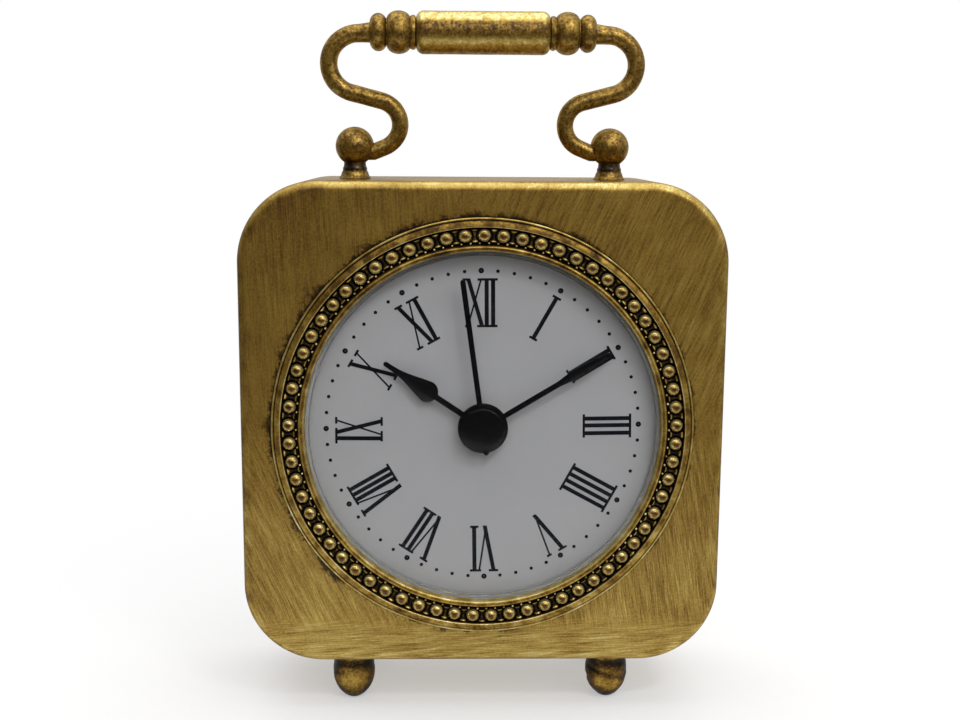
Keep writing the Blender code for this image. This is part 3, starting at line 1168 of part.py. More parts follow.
HATCH_HALF_WIDTH = HOUSING_INNER + HATCH_SIDE_ROOM
HATCH_BOTTOM = CELL_HEIGHT - CELL_RADIUS - HATCH_FINGER_ROOM
HATCH_TOP = CELL_HEIGHT + CELL_RADIUS + HATCH_FINGER_ROOM
DOOR_AXIS_DEPTH = COVER_BACK - DOOR_BARREL_RADIUS
DOOR_AXIS_HEIGHT = HATCH_BOTTOM + FIT + DOOR_BARREL_RADIUS


def make_cover():
    """The rear cover: a recessed plate with a battery hatch, a well down to the movement and hinge lugs."""
    gap = CASE_WALL + FIT
    width = CASE_WIDTH - 2 * gap
    height = CASE_HEIGHT - 2 * gap
    outline = rounded_rectangle(width, height, CASE_CORNER_RADIUS - gap, CORNER_STEPS)
    cover = object_from("rear_cover", prism(outline, COVER_FRONT, COVER_BACK), black_plastic())
    half = HATCH_HALF_WIDTH
    well = half + WELL_WALL
    well_front = MOVEMENT_BACK + FIT
    fuse(cover, block(
        -well, well, well_front, COVER_FRONT + MM / 2, HATCH_BOTTOM - WELL_WALL, HATCH_TOP + WELL_WALL))
    screws = [(x, z) for _, x, z in four_corners(POST_X, POST_Z)]
    ends = (COVER_FRONT - MM, COVER_BACK + MM)
    cut(cover, together([
        block(-half, half, well_front - MM, COVER_BACK + MM, HATCH_BOTTOM, HATCH_TOP),
        copies(lambda: rod(KNOB_SHAFT_RADIUS + FIT, *ends), (SETTING_AXIS,)),
        copies(lambda: rod(SCREW_RADIUS + FIT, *ends), screws),
    ]))
    pin_end = half + DOOR_PIN_LENGTH + FIT
    pin_hole = rod(DOOR_PIN_RADIUS + FIT, -pin_end, pin_end, ARBOR_STEPS, "X")
    cut(cover, shifted(pin_hole, 0, DOOR_AXIS_DEPTH, DOOR_AXIS_HEIGHT))
    place(cover)
    length = COVER_THICKNESS + FIT + SCREW_REACH
    for name, x, z in four_corners(POST_X, POST_Z):
        profile = screw_profile(SCREW_RADIUS, SCREW_HEAD_RADIUS, SCREW_HEAD_HEIGHT, length)
        screw = object_from("cover_screw_" + name, turned(profile, ARBOR_STEPS), bright_steel())
        place(screw, x, z, COVER_BACK + FIT)


def make_door():
    """The battery door, built about its hinge line: barrel and pins at the bottom, a latch at the top."""
    half = HATCH_HALF_WIDTH - FIT
    top = HATCH_TOP - FIT - DOOR_AXIS_HEIGHT
    skin = COVER_THICKNESS
    back = DOOR_BARREL_RADIUS
    pin = half + DOOR_PIN_LENGTH
    barrel = rod(DOOR_BARREL_RADIUS, -half, half, SMALL_STEPS, "X")
    door = object_from("battery_door", barrel, black_plastic())
    fuse(door, block(-half, half, back - skin, back, 0, top))
    fuse(door, rod(DOOR_PIN_RADIUS, -pin, pin, ARBOR_STEPS, "X"))
    tongue = DOOR_LATCH_WIDTH / 2
    latch_top = top - DOOR_LATCH_DROP
    fuse(door, block(
        -tongue, tongue, back - skin - DOOR_LATCH_DEPTH, back - skin / 2,
        latch_top - DOOR_LATCH_THICKNESS, latch_top))
    place(door, 0, DOOR_AXIS_HEIGHT, DOOR_AXIS_DEPTH)


def clear_scene():
    for item in list(bpy.data.objects):
        bpy.data.objects.remove(item)


clear_scene()
front_centre = bpy.data.objects.new("front_centre", None)
bpy.context.scene.collection.objects.link(front_centre)
front_centre.location = (0, FRONT_Y, CENTRE_Z)

make_case()
make_bezel()
make_lens()
make_dial()
make_dial_plate()
make_hour_hand()
make_minute_hand()
make_second_hand()
make_handle()
make_feet()
make_motion_work()
make_time_train()
make_movement_front()
make_movement_back()
make_bridge()
make_drive()
make_battery()
make_cover()
make_door()
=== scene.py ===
"""Looks of a small table clock: aged gold case and handle, beaded bezel, printed dial and black hands.

Shapes are worked out in millimetres about the dial's centre on the case's front plane: x to the right,
depth into the case, z up. The function at() turns such a point into the frame's metres. Flat outlines of
numerals and hands, and the lengths in materials, are in metres.
"""
import json
import math

import bmesh
import bpy
from mathutils import Matrix, Vector, noise
from mathutils.geometry import delaunay_2d_cdt


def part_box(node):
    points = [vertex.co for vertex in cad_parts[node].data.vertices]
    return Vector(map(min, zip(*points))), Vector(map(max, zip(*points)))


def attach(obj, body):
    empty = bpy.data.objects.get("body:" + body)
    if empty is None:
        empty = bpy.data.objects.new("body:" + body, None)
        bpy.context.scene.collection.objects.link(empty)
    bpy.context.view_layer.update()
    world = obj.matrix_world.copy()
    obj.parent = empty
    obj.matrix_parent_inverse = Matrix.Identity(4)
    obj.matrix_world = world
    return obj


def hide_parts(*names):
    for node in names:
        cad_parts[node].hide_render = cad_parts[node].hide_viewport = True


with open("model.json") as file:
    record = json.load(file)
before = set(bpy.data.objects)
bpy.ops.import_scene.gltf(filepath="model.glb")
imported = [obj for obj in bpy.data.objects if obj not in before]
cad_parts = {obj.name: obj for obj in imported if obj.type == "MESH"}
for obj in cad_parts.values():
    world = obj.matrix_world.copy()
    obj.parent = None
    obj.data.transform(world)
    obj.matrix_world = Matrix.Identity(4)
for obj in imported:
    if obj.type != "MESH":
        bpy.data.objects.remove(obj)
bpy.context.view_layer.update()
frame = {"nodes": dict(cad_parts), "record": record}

MM = 0.001
TURN = 2 * math.pi

case_low, case_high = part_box("case_shell")
FRONT = case_low.y
CENTRE = (case_low.z + case_high.z) / 2
HALF_WIDTH = case_high.x / MM
HALF_HEIGHT = (case_high.z - case_low.z) / 2 / MM
CASE_DEPTH = (case_high.y - case_low.y) / MM
CASE_WALL = 2.5
CASE_CORNER = 18
FRONT_ROUNDING = 2
REAR_ROUNDING = 0.8
CASE_OPENING = 45.3

BEZEL_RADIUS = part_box("bezel_ring")[1].x / MM
BAND_INNER = BEZEL_RADIUS - 2.1
RIM_OUTER = BAND_INNER - 3.6
LENS_OPENING = RIM_OUTER - 1.6
BEAD_CIRCLE = (BAND_INNER + RIM_OUTER) / 2
BEAD_COUNT = 65
BEAD_RADIUS = 1.5
BEAD_PROUD = 2.4
DIAL_FACE = (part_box("dial")[0].y - FRONT) / MM

HOUR_ANGLE, MINUTE_ANGLE, SECOND_ANGLE = (math.radians(turn) for turn in (303.7, 58.9, 352.0))


def at(x, depth, z):
    return (x * MM, FRONT + depth * MM, CENTRE + z * MM)


def polar(radius, clockwise):
    """A point of the dial, with the angle taken clockwise from twelve."""
    return radius * math.sin(clockwise), radius * math.cos(clockwise)


def arc(centre_a, centre_b, radius, start, end, steps):
    """Points along an arc in any two coordinates, angles in degrees."""
    turns = [math.radians(start + (end - start) * i / steps) for i in range(steps + 1)]
    return [(centre_a + radius * math.cos(turn), centre_b + radius * math.sin(turn)) for turn in turns]


def circle(centre_a, centre_b, radius, count=24):
    return arc(centre_a, centre_b, radius, 0, 360 - 360 / count, count - 1)


def between(start, end, share):
    return tuple(a + (b - a) * share for a, b in zip(start, end))


def smooth(low, high, value):
    share = min(1.0, max(0.0, (value - low) / (high - low)))
    return share * share * (3 - 2 * share)


def rough(place, scale=1.0):
    """Smooth noise, from about -1 to 1."""
    return noise.noise(Vector(place) * scale)


# Node helpers

NOISE_RANGE = (0.3, 0.7)


class Nodes:
    """A node tree under construction. Values are sockets or plain numbers."""

    def __init__(self, tree):
        self.tree = tree

    def feed(self, value, socket):
        if isinstance(value, bpy.types.NodeSocket):
            self.tree.links.new(value, socket)
        else:
            socket.default_value = value

    def add(self, kind, *values, **settings):
        """A node with its settings, and with values for its first inputs."""
        node = self.tree.nodes.new(kind)
        for key, value in settings.items():
            setattr(node, key, value)
        for value, socket in zip(values, node.inputs):
            self.feed(value, socket)
        return node

    def fill(self, node, **values):
        """Feeds inputs by name, with underscores for blanks, and gives the node's first output."""
        for name, value in values.items():
            self.feed(value, node.inputs[name.replace("_", " ")])
        return node.outputs[0]

    def math(self, operation, *values, clamp=False):
        return self.add("ShaderNodeMath", *values, operation=operation, use_clamp=clamp).outputs[0]

    def total(self, value, *layers):
        """A value with each layer added at its weight."""
        for layer, weight in layers:
            value = self.math("MULTIPLY_ADD", layer, weight, value)
        return value

    def spread(self, value, low, high, to_low=0.0, to_high=1.0, soft=False):
        """The stretch from low to high, laid out from to_low to to_high."""
        kind = "SMOOTHSTEP" if soft else "LINEAR"
        values = (value, low, high, to_low, to_high)
        return self.add("ShaderNodeMapRange", *values, interpolation_type=kind).outputs[0]

    def swing(self, grain, reach=1.0):
        """Grain laid out to both sides of zero."""
        return self.spread(grain, *NOISE_RANGE, -reach, reach)

    def axes(self, vector):
        return self.add("ShaderNodeSeparateXYZ", vector).outputs

    def ramp(self, value, stops):
        node = self.add("ShaderNodeValToRGB", value)
        elements = node.color_ramp.elements
        while len(elements) < len(stops):
            elements.new(1.0)
        for element, (position, colour) in zip(elements, stops):
            element.position = position
            element.color = (*colour, 1)
        return node.outputs["Color"]

    def mix(self, factor, first, second):
        return self.add("ShaderNodeMixShader", factor, first.outputs[0], second.outputs[0])


class Finish(Nodes):
    """A material's tree, built round its Principled shader."""

    def __init__(self, name):
        self.material = bpy.data.materials.new(name)
        self.material.use_nodes = True
        super().__init__(self.material.node_tree)
        self.shader = self.tree.nodes["Principled BSDF"]
        self.place = self.add("ShaderNodeTexCoord").outputs["Object"]

    def paint(self, **values):
        self.fill(self.shader, **values)

    def surface(self, shader):
        """Puts another shader node in the Principled one's place at the material's output."""
        self.feed(shader.outputs[0], self.tree.nodes["Material Output"].inputs["Surface"])

    def grain(self, size, detail=3.0, roughness=0.55, turn=0.0, seed=0.0):
        """Noise whose features are about size = (x, y, z) long, turned about the dial's axis."""
        size = size if isinstance(size, tuple) else (size, size, size)
        lay = (self.place, (seed, seed, seed), (0, turn, 0), size)
        laid = self.add("ShaderNodeMapping", *lay, vector_type="TEXTURE").outputs[0]
        node = self.add("ShaderNodeTexNoise")
        return self.fill(node, Vector=laid, Scale=1.0, Detail=detail, Roughness=roughness)

    def bump(self, height, strength, distance):
        node = self.add("ShaderNodeBump")
        self.paint(Normal=self.fill(node, Strength=strength, Distance=distance, Height=height))


def srgb(*levels):
    """Linear colour from the 0 to 255 levels that it should render at."""
    shares = [level / 255 for level in levels]
    return tuple(((share + 0.055) / 1.055) ** 2.4 if share > 0.04 else share / 12.92 for share in shares)


# Materials

GOLD_STOPS = (
    (0.0, srgb(12, 9, 6)),
    (0.18, srgb(34, 25, 14)),
    (0.36, srgb(98, 71, 29)),
    (0.55, srgb(158, 127, 57)),
    (0.74, srgb(192, 168, 92)),
    (1.0, srgb(242, 230, 180)),
)

# Brush strokes on the front: angle in degrees, seed, level and contrast of each patch. The levels are partly
# painted light: the upper right and the band along the foot are lighter, as painted light from the right and
# a painted reflection of the floor.
STROKE_PATCHES = (
    (91, 0.11, 0.15, 0.65),  # upper left
    (112, 0.23, 0.15, 1.1),  # lower left
    (64, 0.37, 0.5, 1.1),  # upper right
    (98, 0.51, -0.05, 1.3),  # lower right
    (3, 0.66, 0.45, 1.4),  # along the foot
)
FINE_STROKE = (6 * MM, 0.35 * MM, 0.2 * MM)
BROAD_STROKE = (14 * MM, 1.6 * MM, 0.9 * MM)


def grime_round_bezel(f):
    """Black patina left in patches where the bezel meets the case, less of it towards the right."""
    least, most, ragged, fall, depth = 0.3 * MM, 5.0 * MM, 0.7 * MM, 1.5, 0.46
    x, _, z = f.axes(f.place)
    rise = f.math("SUBTRACT", z, CENTRE)
    radius = f.math("SQRT", f.math("MULTIPLY_ADD", rise, rise, f.math("POWER", x, 2.0)))
    gap = f.math("SUBTRACT", radius, BEZEL_RADIUS * MM)
    patch = f.spread(f.grain(9 * MM, detail=5, roughness=0.7, seed=0.9), 0.46, 0.74, least, most)
    fine = f.spread(f.grain(0.6 * MM, seed=0.15), 0.35, 0.65, -ragged, ragged)
    reach = f.math("MULTIPLY", f.math("ADD", patch, fine), f.spread(x, -15 * MM, 30 * MM, 1.0, 0.35))
    share = f.math("DIVIDE", gap, f.math("MAXIMUM", reach, least))
    share = f.math("SUBTRACT", 1.0, share, clamp=True)
    return f.math("MULTIPLY", f.math("POWER", share, fall), depth)


def stroke_field(f):
    """Brush strokes that change direction over the case: each patch has its own angle and a soft border."""
    x, _, z = f.axes(f.place)
    right = f.spread(x, -12 * MM, 12 * MM, soft=True)
    upper = f.spread(z, CENTRE - 14 * MM, CENTRE + 14 * MM, soft=True)
    foot = f.spread(z, CENTRE - 42 * MM, CENTRE - 49 * MM, soft=True)
    left, lower, above = (f.math("SUBTRACT", 1.0, share) for share in (right, upper, foot))
    shares = [f.math("MULTIPLY", f.math("MULTIPLY", across, along), above)
              for across in (left, right) for along in (upper, lower)]
    field = 0.0
    for share, (angle, seed, level, contrast) in zip(shares + [foot], STROKE_PATCHES):
        fine = f.grain(FINE_STROKE, roughness=0.65, turn=-math.radians(angle), seed=seed)
        turn = -math.radians(angle + 5)
        broad = f.grain(BROAD_STROKE, detail=2, roughness=0.5, turn=turn, seed=seed + 0.05)
        layer = f.math("ADD", f.swing(fine, 0.8), f.swing(broad, 0.4))
        field = f.total(field, (f.math("MULTIPLY_ADD", layer, contrast, level), share))
    return field


def aged_gold(name, level, mottle, mottle_size, speck, strokes=0.0, bump=0.25, gloss=0.0, coat=0.0):
    """Gold paint under a worn brown patina. The mesh's own attribute of wear and painted light lightens or
    darkens it.
    """
    f = Finish(name)
    wear_and_light = f.add("ShaderNodeAttribute", attribute_name="wear_and_light").outputs["Fac"]
    blotch = f.grain(mottle_size, detail=4, roughness=0.6)
    dust = f.grain(0.55 * MM, detail=2, seed=0.3)
    value = f.total(f.math("ADD", wear_and_light, level), (f.swing(blotch), mottle), (f.swing(dust), speck))
    relief = f.total(f.math("MULTIPLY", blotch, 0.3), (dust, 0.4))
    if strokes:
        brushed = stroke_field(f)
        # Painted shade: the case front darkens towards the top, and stays lighter low down as a painted
        # reflection of the floor.
        height = f.spread(f.axes(f.place)["Z"], CENTRE - 46 * MM, CENTRE + 46 * MM)
        broad = f.swing(f.grain((30 * MM, 30 * MM, 38 * MM), detail=2, seed=0.7))
        value = f.total(value, (grime_round_bezel(f), -1.0), (brushed, strokes))
        value = f.total(value, (height, -0.12), (broad, 0.05))
        relief = f.total(relief, (brushed, 0.5))
    f.paint(
        Base_Color=f.ramp(value, GOLD_STOPS),
        Metallic=f.spread(value, 0.1, 0.5, 0.35, 0.78),
        Roughness=f.spread(value, 0.2, 0.9, 0.54 - gloss, 0.34 - gloss),
        Specular_Tint=(0.50, 0.44, 0.32, 1),
        Coat_Weight=coat,
        Coat_Roughness=0.15,
    )
    f.bump(relief, bump, 0.15 * MM)
    return f.material


def grained(name, colour, roughness, metallic=0.0, size=0.6 * MM, depth=0.12, bump=0.15, shine=0.5):
    """A moulded, rolled or turned surface: fine grain in its colour, gloss and relief."""
    f = Finish(name)
    fine = f.grain(size)
    wide = f.grain(12 * MM, detail=2, seed=0.4)
    tone = f.math("ADD", f.spread(fine, *NOISE_RANGE, 0.0, 0.6), f.spread(wide, *NOISE_RANGE, 0.0, 0.4))
    shades = [tuple(min(1.0, level * share) for level in colour) for share in (1 - depth, 1 + depth)]
    f.paint(
        Base_Color=f.ramp(tone, list(enumerate(shades))),
        Roughness=f.spread(fine, *NOISE_RANGE, roughness - 0.06, roughness + 0.06),
        Metallic=metallic,
        Specular_IOR_Level=shine,
    )
    f.bump(fine, bump, 0.05 * MM)
    return f.material


def clear_lens():
    """Polished acrylic with the faintest haze. Lamps' light passes straight through it."""
    f = Finish("clear_acrylic")
    f.paint(
        Base_Color=(0.97, 0.98, 0.98, 1),
        Transmission_Weight=1.0,
        IOR=1.12,
        Specular_IOR_Level=0.9,
        Roughness=f.spread(f.grain(7 * MM), 0.4, 0.8, 0.0, 0.05),
    )
    clear = f.add("ShaderNodeBsdfTransparent", (0.95, 0.96, 0.96, 1))
    shadow = f.add("ShaderNodeLightPath").outputs["Is Shadow Ray"]
    f.surface(f.mix(shadow, f.shader, clear))
    return f.material


# Level, mottling and its size, speckle
brushed_gold = aged_gold("brushed_antique_gold", 0.54, 0.04, 9 * MM, 0.055, strokes=0.15, coat=0.2)
cast_gold = aged_gold("cast_antique_gold", 0.50, 0.12, 1.8 * MM, 0.08)
bead_gold = aged_gold("bead_antique_gold", 0.50, 0.10, 1.2 * MM, 0.05, gloss=0.16, coat=0.4)
handle_gold = aged_gold("handle_antique_gold", 0.46, 0.13, 1.4 * MM, 0.12, bump=0.4, gloss=0.08, coat=0.12)
foot_gold = aged_gold("foot_antique_gold", 0.43, 0.12, 2.4 * MM, 0.10, bump=0.6, gloss=0.10)
lens_clear = clear_lens()
# Colour, roughness, metallic, grain size, depth of its colour, bump, shine
lacquer = grained("black_lacquer", (0.003, 0.003, 0.0035), 0.16, depth=0.3, bump=0.02, shine=0.25)
ink = grained("printing_ink", (0.004, 0.004, 0.006), 0.6, depth=0.2, size=0.2 * MM, shine=0.08)
steel, brass, iron, wire = (
    tuple(length * MM for length in size)
    for size in ((4, 1, 0.2), (1, 0.1, 1), (3, 1, 0.25), (0.12, 1, 1))
)
FINISHES = {
    "antique_brass": cast_gold,
    "clear_lens": lens_clear,
    "black_lacquer": lacquer,
    # The dial's white paint is set grey, partly as painted shade for its place deep behind the bezel and the
    # lens.
    "dial_white": grained("dial_paint_with_shade", srgb(151, 150, 152), 0.6, 0.0, 0.35 * MM, 0.03, 0.04, 0.2),
    "bright_steel": grained("bright_steel", (0.60, 0.60, 0.62), 0.3, 1.0, steel, 0.08),
    "white_plastic": grained("white_acetal", (0.80, 0.79, 0.75), 0.42, depth=0.04),
    "black_plastic": grained("black_moulding", (0.024, 0.024, 0.026), 0.5, 0.0, 0.35 * MM, 0.25, bump=0.5),
    "magnet": grained("sintered_magnet", (0.05, 0.05, 0.055), 0.45, 0.6, 0.3 * MM, 0.3),
    "turned_brass": grained("turned_brass", (0.72, 0.54, 0.22), 0.3, 1.0, brass, 0.08),
    "soft_iron": grained("soft_iron", (0.42, 0.42, 0.44), 0.42, 1.0, iron, 0.1),
    "copper_wire": grained("copper_winding", (0.60, 0.24, 0.10), 0.32, 0.9, wire, 0.25),
    "board_green": grained("solder_mask", (0.03, 0.17, 0.07), 0.35, size=0.8 * MM, depth=0.2),
    "cell_wrap": grained("cell_sleeve", (0.06, 0.065, 0.08), 0.3, 0.1, 2 * MM, 0.2),
}


# Mesh helpers

def linked(name, data):
    item = bpy.data.objects.new(name, data)
    bpy.context.scene.collection.objects.link(item)
    return item


class Shape:
    """Vertices and faces of one or more closed bodies, with a value of wear and painted light at each vertex.
    """

    def __init__(self):
        self.points = []
        self.faces = []
        self.wear_and_light = []

    def rings(self, rings, wear_and_light=None, loop=False):
        """Joins rings of equal length. One point makes a pole; ends that aren't poles are capped."""
        starts = []
        for ring, values in zip(rings, wear_and_light or [[0.0] * len(ring) for ring in rings]):
            starts.append(len(self.points))
            self.points += ring
            self.wear_and_light += values
        last = len(rings) - 1
        for a in range(len(rings) if loop else last):
            b = 0 if a == last else a + 1
            count = max(len(rings[a]), len(rings[b]))
            for i in range(count):
                j = (i + 1) % count
                quad = [starts[a] + i, starts[a] + j, starts[b] + j, starts[b] + i]
                if len(rings[a]) == 1:
                    quad = [starts[a], starts[b] + j, starts[b] + i]
                if len(rings[b]) == 1:
                    quad = [starts[a] + i, starts[a] + j, starts[b]]
                self.faces.append(quad)
        for end in () if loop else (0, last):
            if len(rings[end]) > 1:
                self.faces.append([starts[end] + i for i in range(len(rings[end]))])

    def grid(self, rows, steps, place, loop=False):
        """Rings of place(turn, *row), a point and its wear. A row whose first value is 0 is a pole."""
        made = []
        for row in rows:
            count = steps if row[0] else 1
            made.append([place(TURN * i / count, *row) for i in range(count)])
        points = [[point for point, _ in ring] for ring in made]
        self.rings(points, [[value for _, value in ring] for ring in made], loop)

    def turned(self, profile, steps, centre, axis="y", wear_and_light=None):
        """A body turned from (radius, distance along the axis) points, in millimetres from its centre."""
        def place(turn, radius, along, value):
            a, b = radius * math.cos(turn), radius * math.sin(turn)
            offset = {"x": (along, a, b), "y": (a, along, b), "z": (a, b, along)}[axis]
            return tuple(c + o * MM for c, o in zip(centre, offset)), value

        rows = [(*point, value) for point, value in zip(profile, wear_and_light or [0.0] * len(profile))]
        self.grid(rows, steps, place)

    def plate(self, front, back, outlines, holes=()):
        """The union of closed outlines in the dial's plane, less the holes, as a plate between two depths."""
        corners, faces = [], []
        for outline in (*outlines, *holes):
            faces.append(list(range(len(corners), len(corners) + len(outline))))
            corners += [Vector(p) for p in outline]
        points, _, pieces, _, _, origins = delaunay_2d_cdt(corners, [], faces, 1, 1e-9)
        kept = [face for face, made_of in zip(pieces, origins) if made_of and max(made_of) < len(outlines)]
        used = sorted({n for face in kept for n in face})
        order = {n: i for i, n in enumerate(used)}
        start, count = len(self.points), len(used)
        for depth in (front, back):
            self.points += [(points[n][0], FRONT + depth * MM, CENTRE + points[n][1]) for n in used]
            self.wear_and_light += [0.0] * count
        edges = {}
        for face in kept:
            corners = [start + order[n] for n in face]
            self.faces += [corners, [n + count for n in reversed(corners)]]
            for a, b in zip(corners, corners[1:] + corners[:1]):
                if not edges.pop((b, a), False):
                    edges[(a, b)] = True
        for a, b in edges:
            self.faces.append([b, a, a + count, b + count])

    def object(self, name, finish, sharp=35):
        mesh = bpy.data.meshes.new(name)
        mesh.from_pydata(self.points, [], self.faces)
        shape = bmesh.new()
        shape.from_mesh(mesh)
        bmesh.ops.recalc_face_normals(shape, faces=shape.faces)
        shape.to_mesh(mesh)
        shape.free()
        if any(self.wear_and_light):
            set_wear_and_light(mesh, self.wear_and_light)
        shade(mesh, sharp)
        mesh.materials.append(finish)
        return linked(name, mesh)


# Each vertex's wear, and the painted highlights and shade laid on it.
def set_wear_and_light(mesh, values):
    mesh.attributes.new("wear_and_light", "FLOAT", "POINT").data.foreach_set("value", values)


def shade(mesh, sharp):
    """Smooth, apart from the edges that turn by more than an angle in degrees."""
    mesh.shade_smooth()
    mesh.set_sharp_from_angle(angle=math.radians(sharp))


def combine(first, second, operation):
    """Joins the second body to the first, or cuts it out. The second one goes."""
    change = first.modifiers.new("combine", "BOOLEAN")
    change.operation = operation
    change.solver = "EXACT"
    change.object = second
    graph = bpy.context.evaluated_depsgraph_get()
    result = bpy.data.meshes.new_from_object(first.evaluated_get(graph))
    first.modifiers.remove(change)
    first.data = result
    bpy.data.objects.remove(second)


def dressed(piece, *nodes, body="clock_body", slot="antique_brass"):
    """Rides a finished piece on its body and hides the nodes that it stands for. Its slot is not used."""
    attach(piece, body)
    if nodes:
        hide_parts(*nodes)


# Case

def case_outline(inset):
    """The case's rounded-square outline, set in by a margin, always as many points."""
    corner_steps, side_steps = 28, 26
    across, up = HALF_WIDTH - CASE_CORNER, HALF_HEIGHT - CASE_CORNER
    corners = [arc(x * across, z * up, CASE_CORNER - inset, start, start + 90, corner_steps)
               for x, z, start in ((1, 1, 0), (-1, 1, 90), (-1, -1, 180), (1, -1, 270))]
    points = []
    for corner, following in zip(corners, corners[1:] + corners[:1]):
        side = [between(corner[-1], following[0], i / side_steps) for i in range(1, side_steps)]
        points += corner + side
    return points


def build_case():
    """One shell: rear edge, sides, rounded front edge, front face down to the opening, and its inside."""
    rear_steps, wall_steps, front_steps, face_steps = 3, 12, 10, 26
    rings, wear_and_light = [], []

    def add(inset, depth, value, edge=0.0):
        ring, values = [], []
        for x, z in case_outline(inset):
            # On the front rounding: lighter towards the top as a painted highlight, and darker on the outer
            # edge of the sides and bottom as painted shade.
            top_light_share = smooth(0.7, 0.98, z / HALF_HEIGHT)
            rub = 0.16 * rough((x, depth * 3, z), 0.26) if value > 0 else 0.0
            if depth < FRONT_ROUNDING:
                ring.append(at(x, depth + 0.04 * abs(rough((x, depth, z), 0.18)), z))
                values.append(value * (0.2 + 0.8 * top_light_share) - 0.2 * edge * (1 - top_light_share) + rub)
            else:
                ring.append(at(x, depth, z))
                values.append(value + rub)
        rings.append(ring)
        wear_and_light.append(values)

    add(CASE_WALL, CASE_DEPTH, -0.1)
    for i in range(rear_steps + 1):
        turn = TURN / 4 * i / rear_steps
        add(REAR_ROUNDING * (1 - math.sin(turn)), CASE_DEPTH - REAR_ROUNDING * (1 - math.cos(turn)), 0.08)
    rear = CASE_DEPTH - REAR_ROUNDING
    for i in range(1, wall_steps):
        add(0, rear + (FRONT_ROUNDING - rear) * i / wall_steps, -0.02)
    for i in range(front_steps + 1):
        turn = TURN / 4 * i / front_steps
        # Rubbed wear on the front edge, strongest halfway round it; add() keeps most of it along the top,
        # where it is also a painted highlight.
        wear_and_highlight = 0.26 * math.sin(2 * turn) ** 2
        depth = FRONT_ROUNDING * (1 - math.sin(turn))
        add(FRONT_ROUNDING * (1 - math.cos(turn)), depth, wear_and_highlight, 1 - smooth(0.4, 1.0, turn))
    border = case_outline(FRONT_ROUNDING)
    opening = [(CASE_OPENING * x / math.hypot(x, z), CASE_OPENING * z / math.hypot(x, z)) for x, z in border]
    for i in range(1, face_steps + 1):
        face = [between(a, b, i / face_steps) for a, b in zip(border, opening)]
        rings.append([at(x, 0.05 * abs(rough((x, 0, z), 0.09)), z) for x, z in face])
        wear_and_light.append([0.0] * len(face))
    for outline in (opening, case_outline(CASE_WALL)):
        rings.append([at(x, CASE_WALL, z) for x, z in outline])
        wear_and_light.append([-0.3] * len(outline))
    shape = Shape()
    shape.rings(rings, wear_and_light, loop=True)
    dressed(shape.object("case_shell_worn", brushed_gold), "case_shell")


def build_case_posts():
    """Four posts that take the rear cover's screws, and four bosses that take the dial plate's."""
    inset, outer, bore, front, back = 12.5, 3.2, 1.6, 2.3, 34.2
    bottom = back - 6
    post = [(bore, bottom), (bore, back), (outer, back), (outer, front), (0, front), (0, bottom)]
    boss_circle, boss_radius, boss_end = 48.4, 2.4, 3.3
    boss = [(0, front), (boss_radius, front), (boss_radius, boss_end), (0, boss_end)]
    shape = Shape()
    for side_x in (-1, 1):
        for side_z in (-1, 1):
            place = at(side_x * (HALF_WIDTH - inset), 0, side_z * (HALF_HEIGHT - inset))
            shape.turned(post, 32, place)
    for quarter in range(4):
        x, z = polar(boss_circle, TURN * quarter / 4)
        shape.turned(boss, 24, at(x, 0, z))
    dressed(shape.object("case_posts", cast_gold))


# Bezel

def bezel_profile():
    """Radius, depth, and wear with painted light: outer ridge, groove, band, bead channel, inner rim and lens
    seat.
    """
    ridge, proud, floor = -1.1, -2.0, 0.3
    bead, groove, edge, half = 0.26, BEZEL_RADIUS - 0.56, 0.16, 0.64
    hidden, seat = BEZEL_RADIUS - 2, LENS_OPENING + 1.8
    rows = [
        (hidden, -0.3, -0.5), (BEZEL_RADIUS - 0.1, -0.3, -0.5),
        (BEZEL_RADIUS, -0.42, -0.3), (BEZEL_RADIUS, ridge + 0.3, -0.05),
    ]
    rows += [(a, b, 0.26) for a, b in arc(BEZEL_RADIUS - bead, ridge + bead, bead, -20, -150, 7)]
    rows += [
        (groove + 0.03, ridge + 0.24, -0.45), (groove - 0.06, ridge + 0.2, -0.5),
        (groove - 0.12, ridge - 0.1, -0.15), (groove - 0.22, ridge - 0.5, 0.05),
    ]
    start, end = (groove - 0.3, ridge - 0.6), (BAND_INNER + 0.17, proud)
    for share in (i / 8 for i in range(9)):
        depth = start[1] + (end[1] - start[1]) * math.sin(share * math.pi / 2)
        rows.append((start[0] + (end[0] - start[0]) * share, depth, 0.02 * math.sin(share * 9) - 0.02))
    rows += [(a, b, 0.34) for a, b in arc(BAND_INNER + edge, proud + edge, edge, -100, -180, 5)]
    rows += [
        (BAND_INNER - 0.05, proud + 0.5, -0.25), (BAND_INNER - 0.2, proud + 1.1, -0.5),
        (BAND_INNER - 0.35, floor - 0.1, -0.55), (BAND_INNER - 0.45, floor, -0.55),
        (BEAD_CIRCLE, floor, -0.55), (RIM_OUTER + 0.45, floor, -0.55),
        (RIM_OUTER + 0.1, floor - 0.1, -0.5), (RIM_OUTER - 0.15, proud + 1.3, -0.4),
        (RIM_OUTER - 0.28, proud + 0.8, -0.1),
    ]
    # Two bright lines on the inner rim, to either side of its crown, are rubbed edges and painted highlights.
    for number, (a, b) in enumerate(arc(LENS_OPENING + half, proud + half, half, 0, -180, 20)):
        wear_and_highlight = 0.26 * (smooth(4, 6, number) - smooth(7, 9, number)) + 0.40 * smooth(13, 16, number)
        rows.append((a, b, wear_and_highlight - 0.10))
    # The lens seat's wall is lighter as painted light, for the pale band seen through the lens's edge.
    return rows + [
        (LENS_OPENING, 0.6, 0.2), (LENS_OPENING, 1.3, 0.2), (seat, 1.3, -0.4),
        (seat, CASE_WALL, -0.4), (hidden, CASE_WALL, -0.4),
    ]


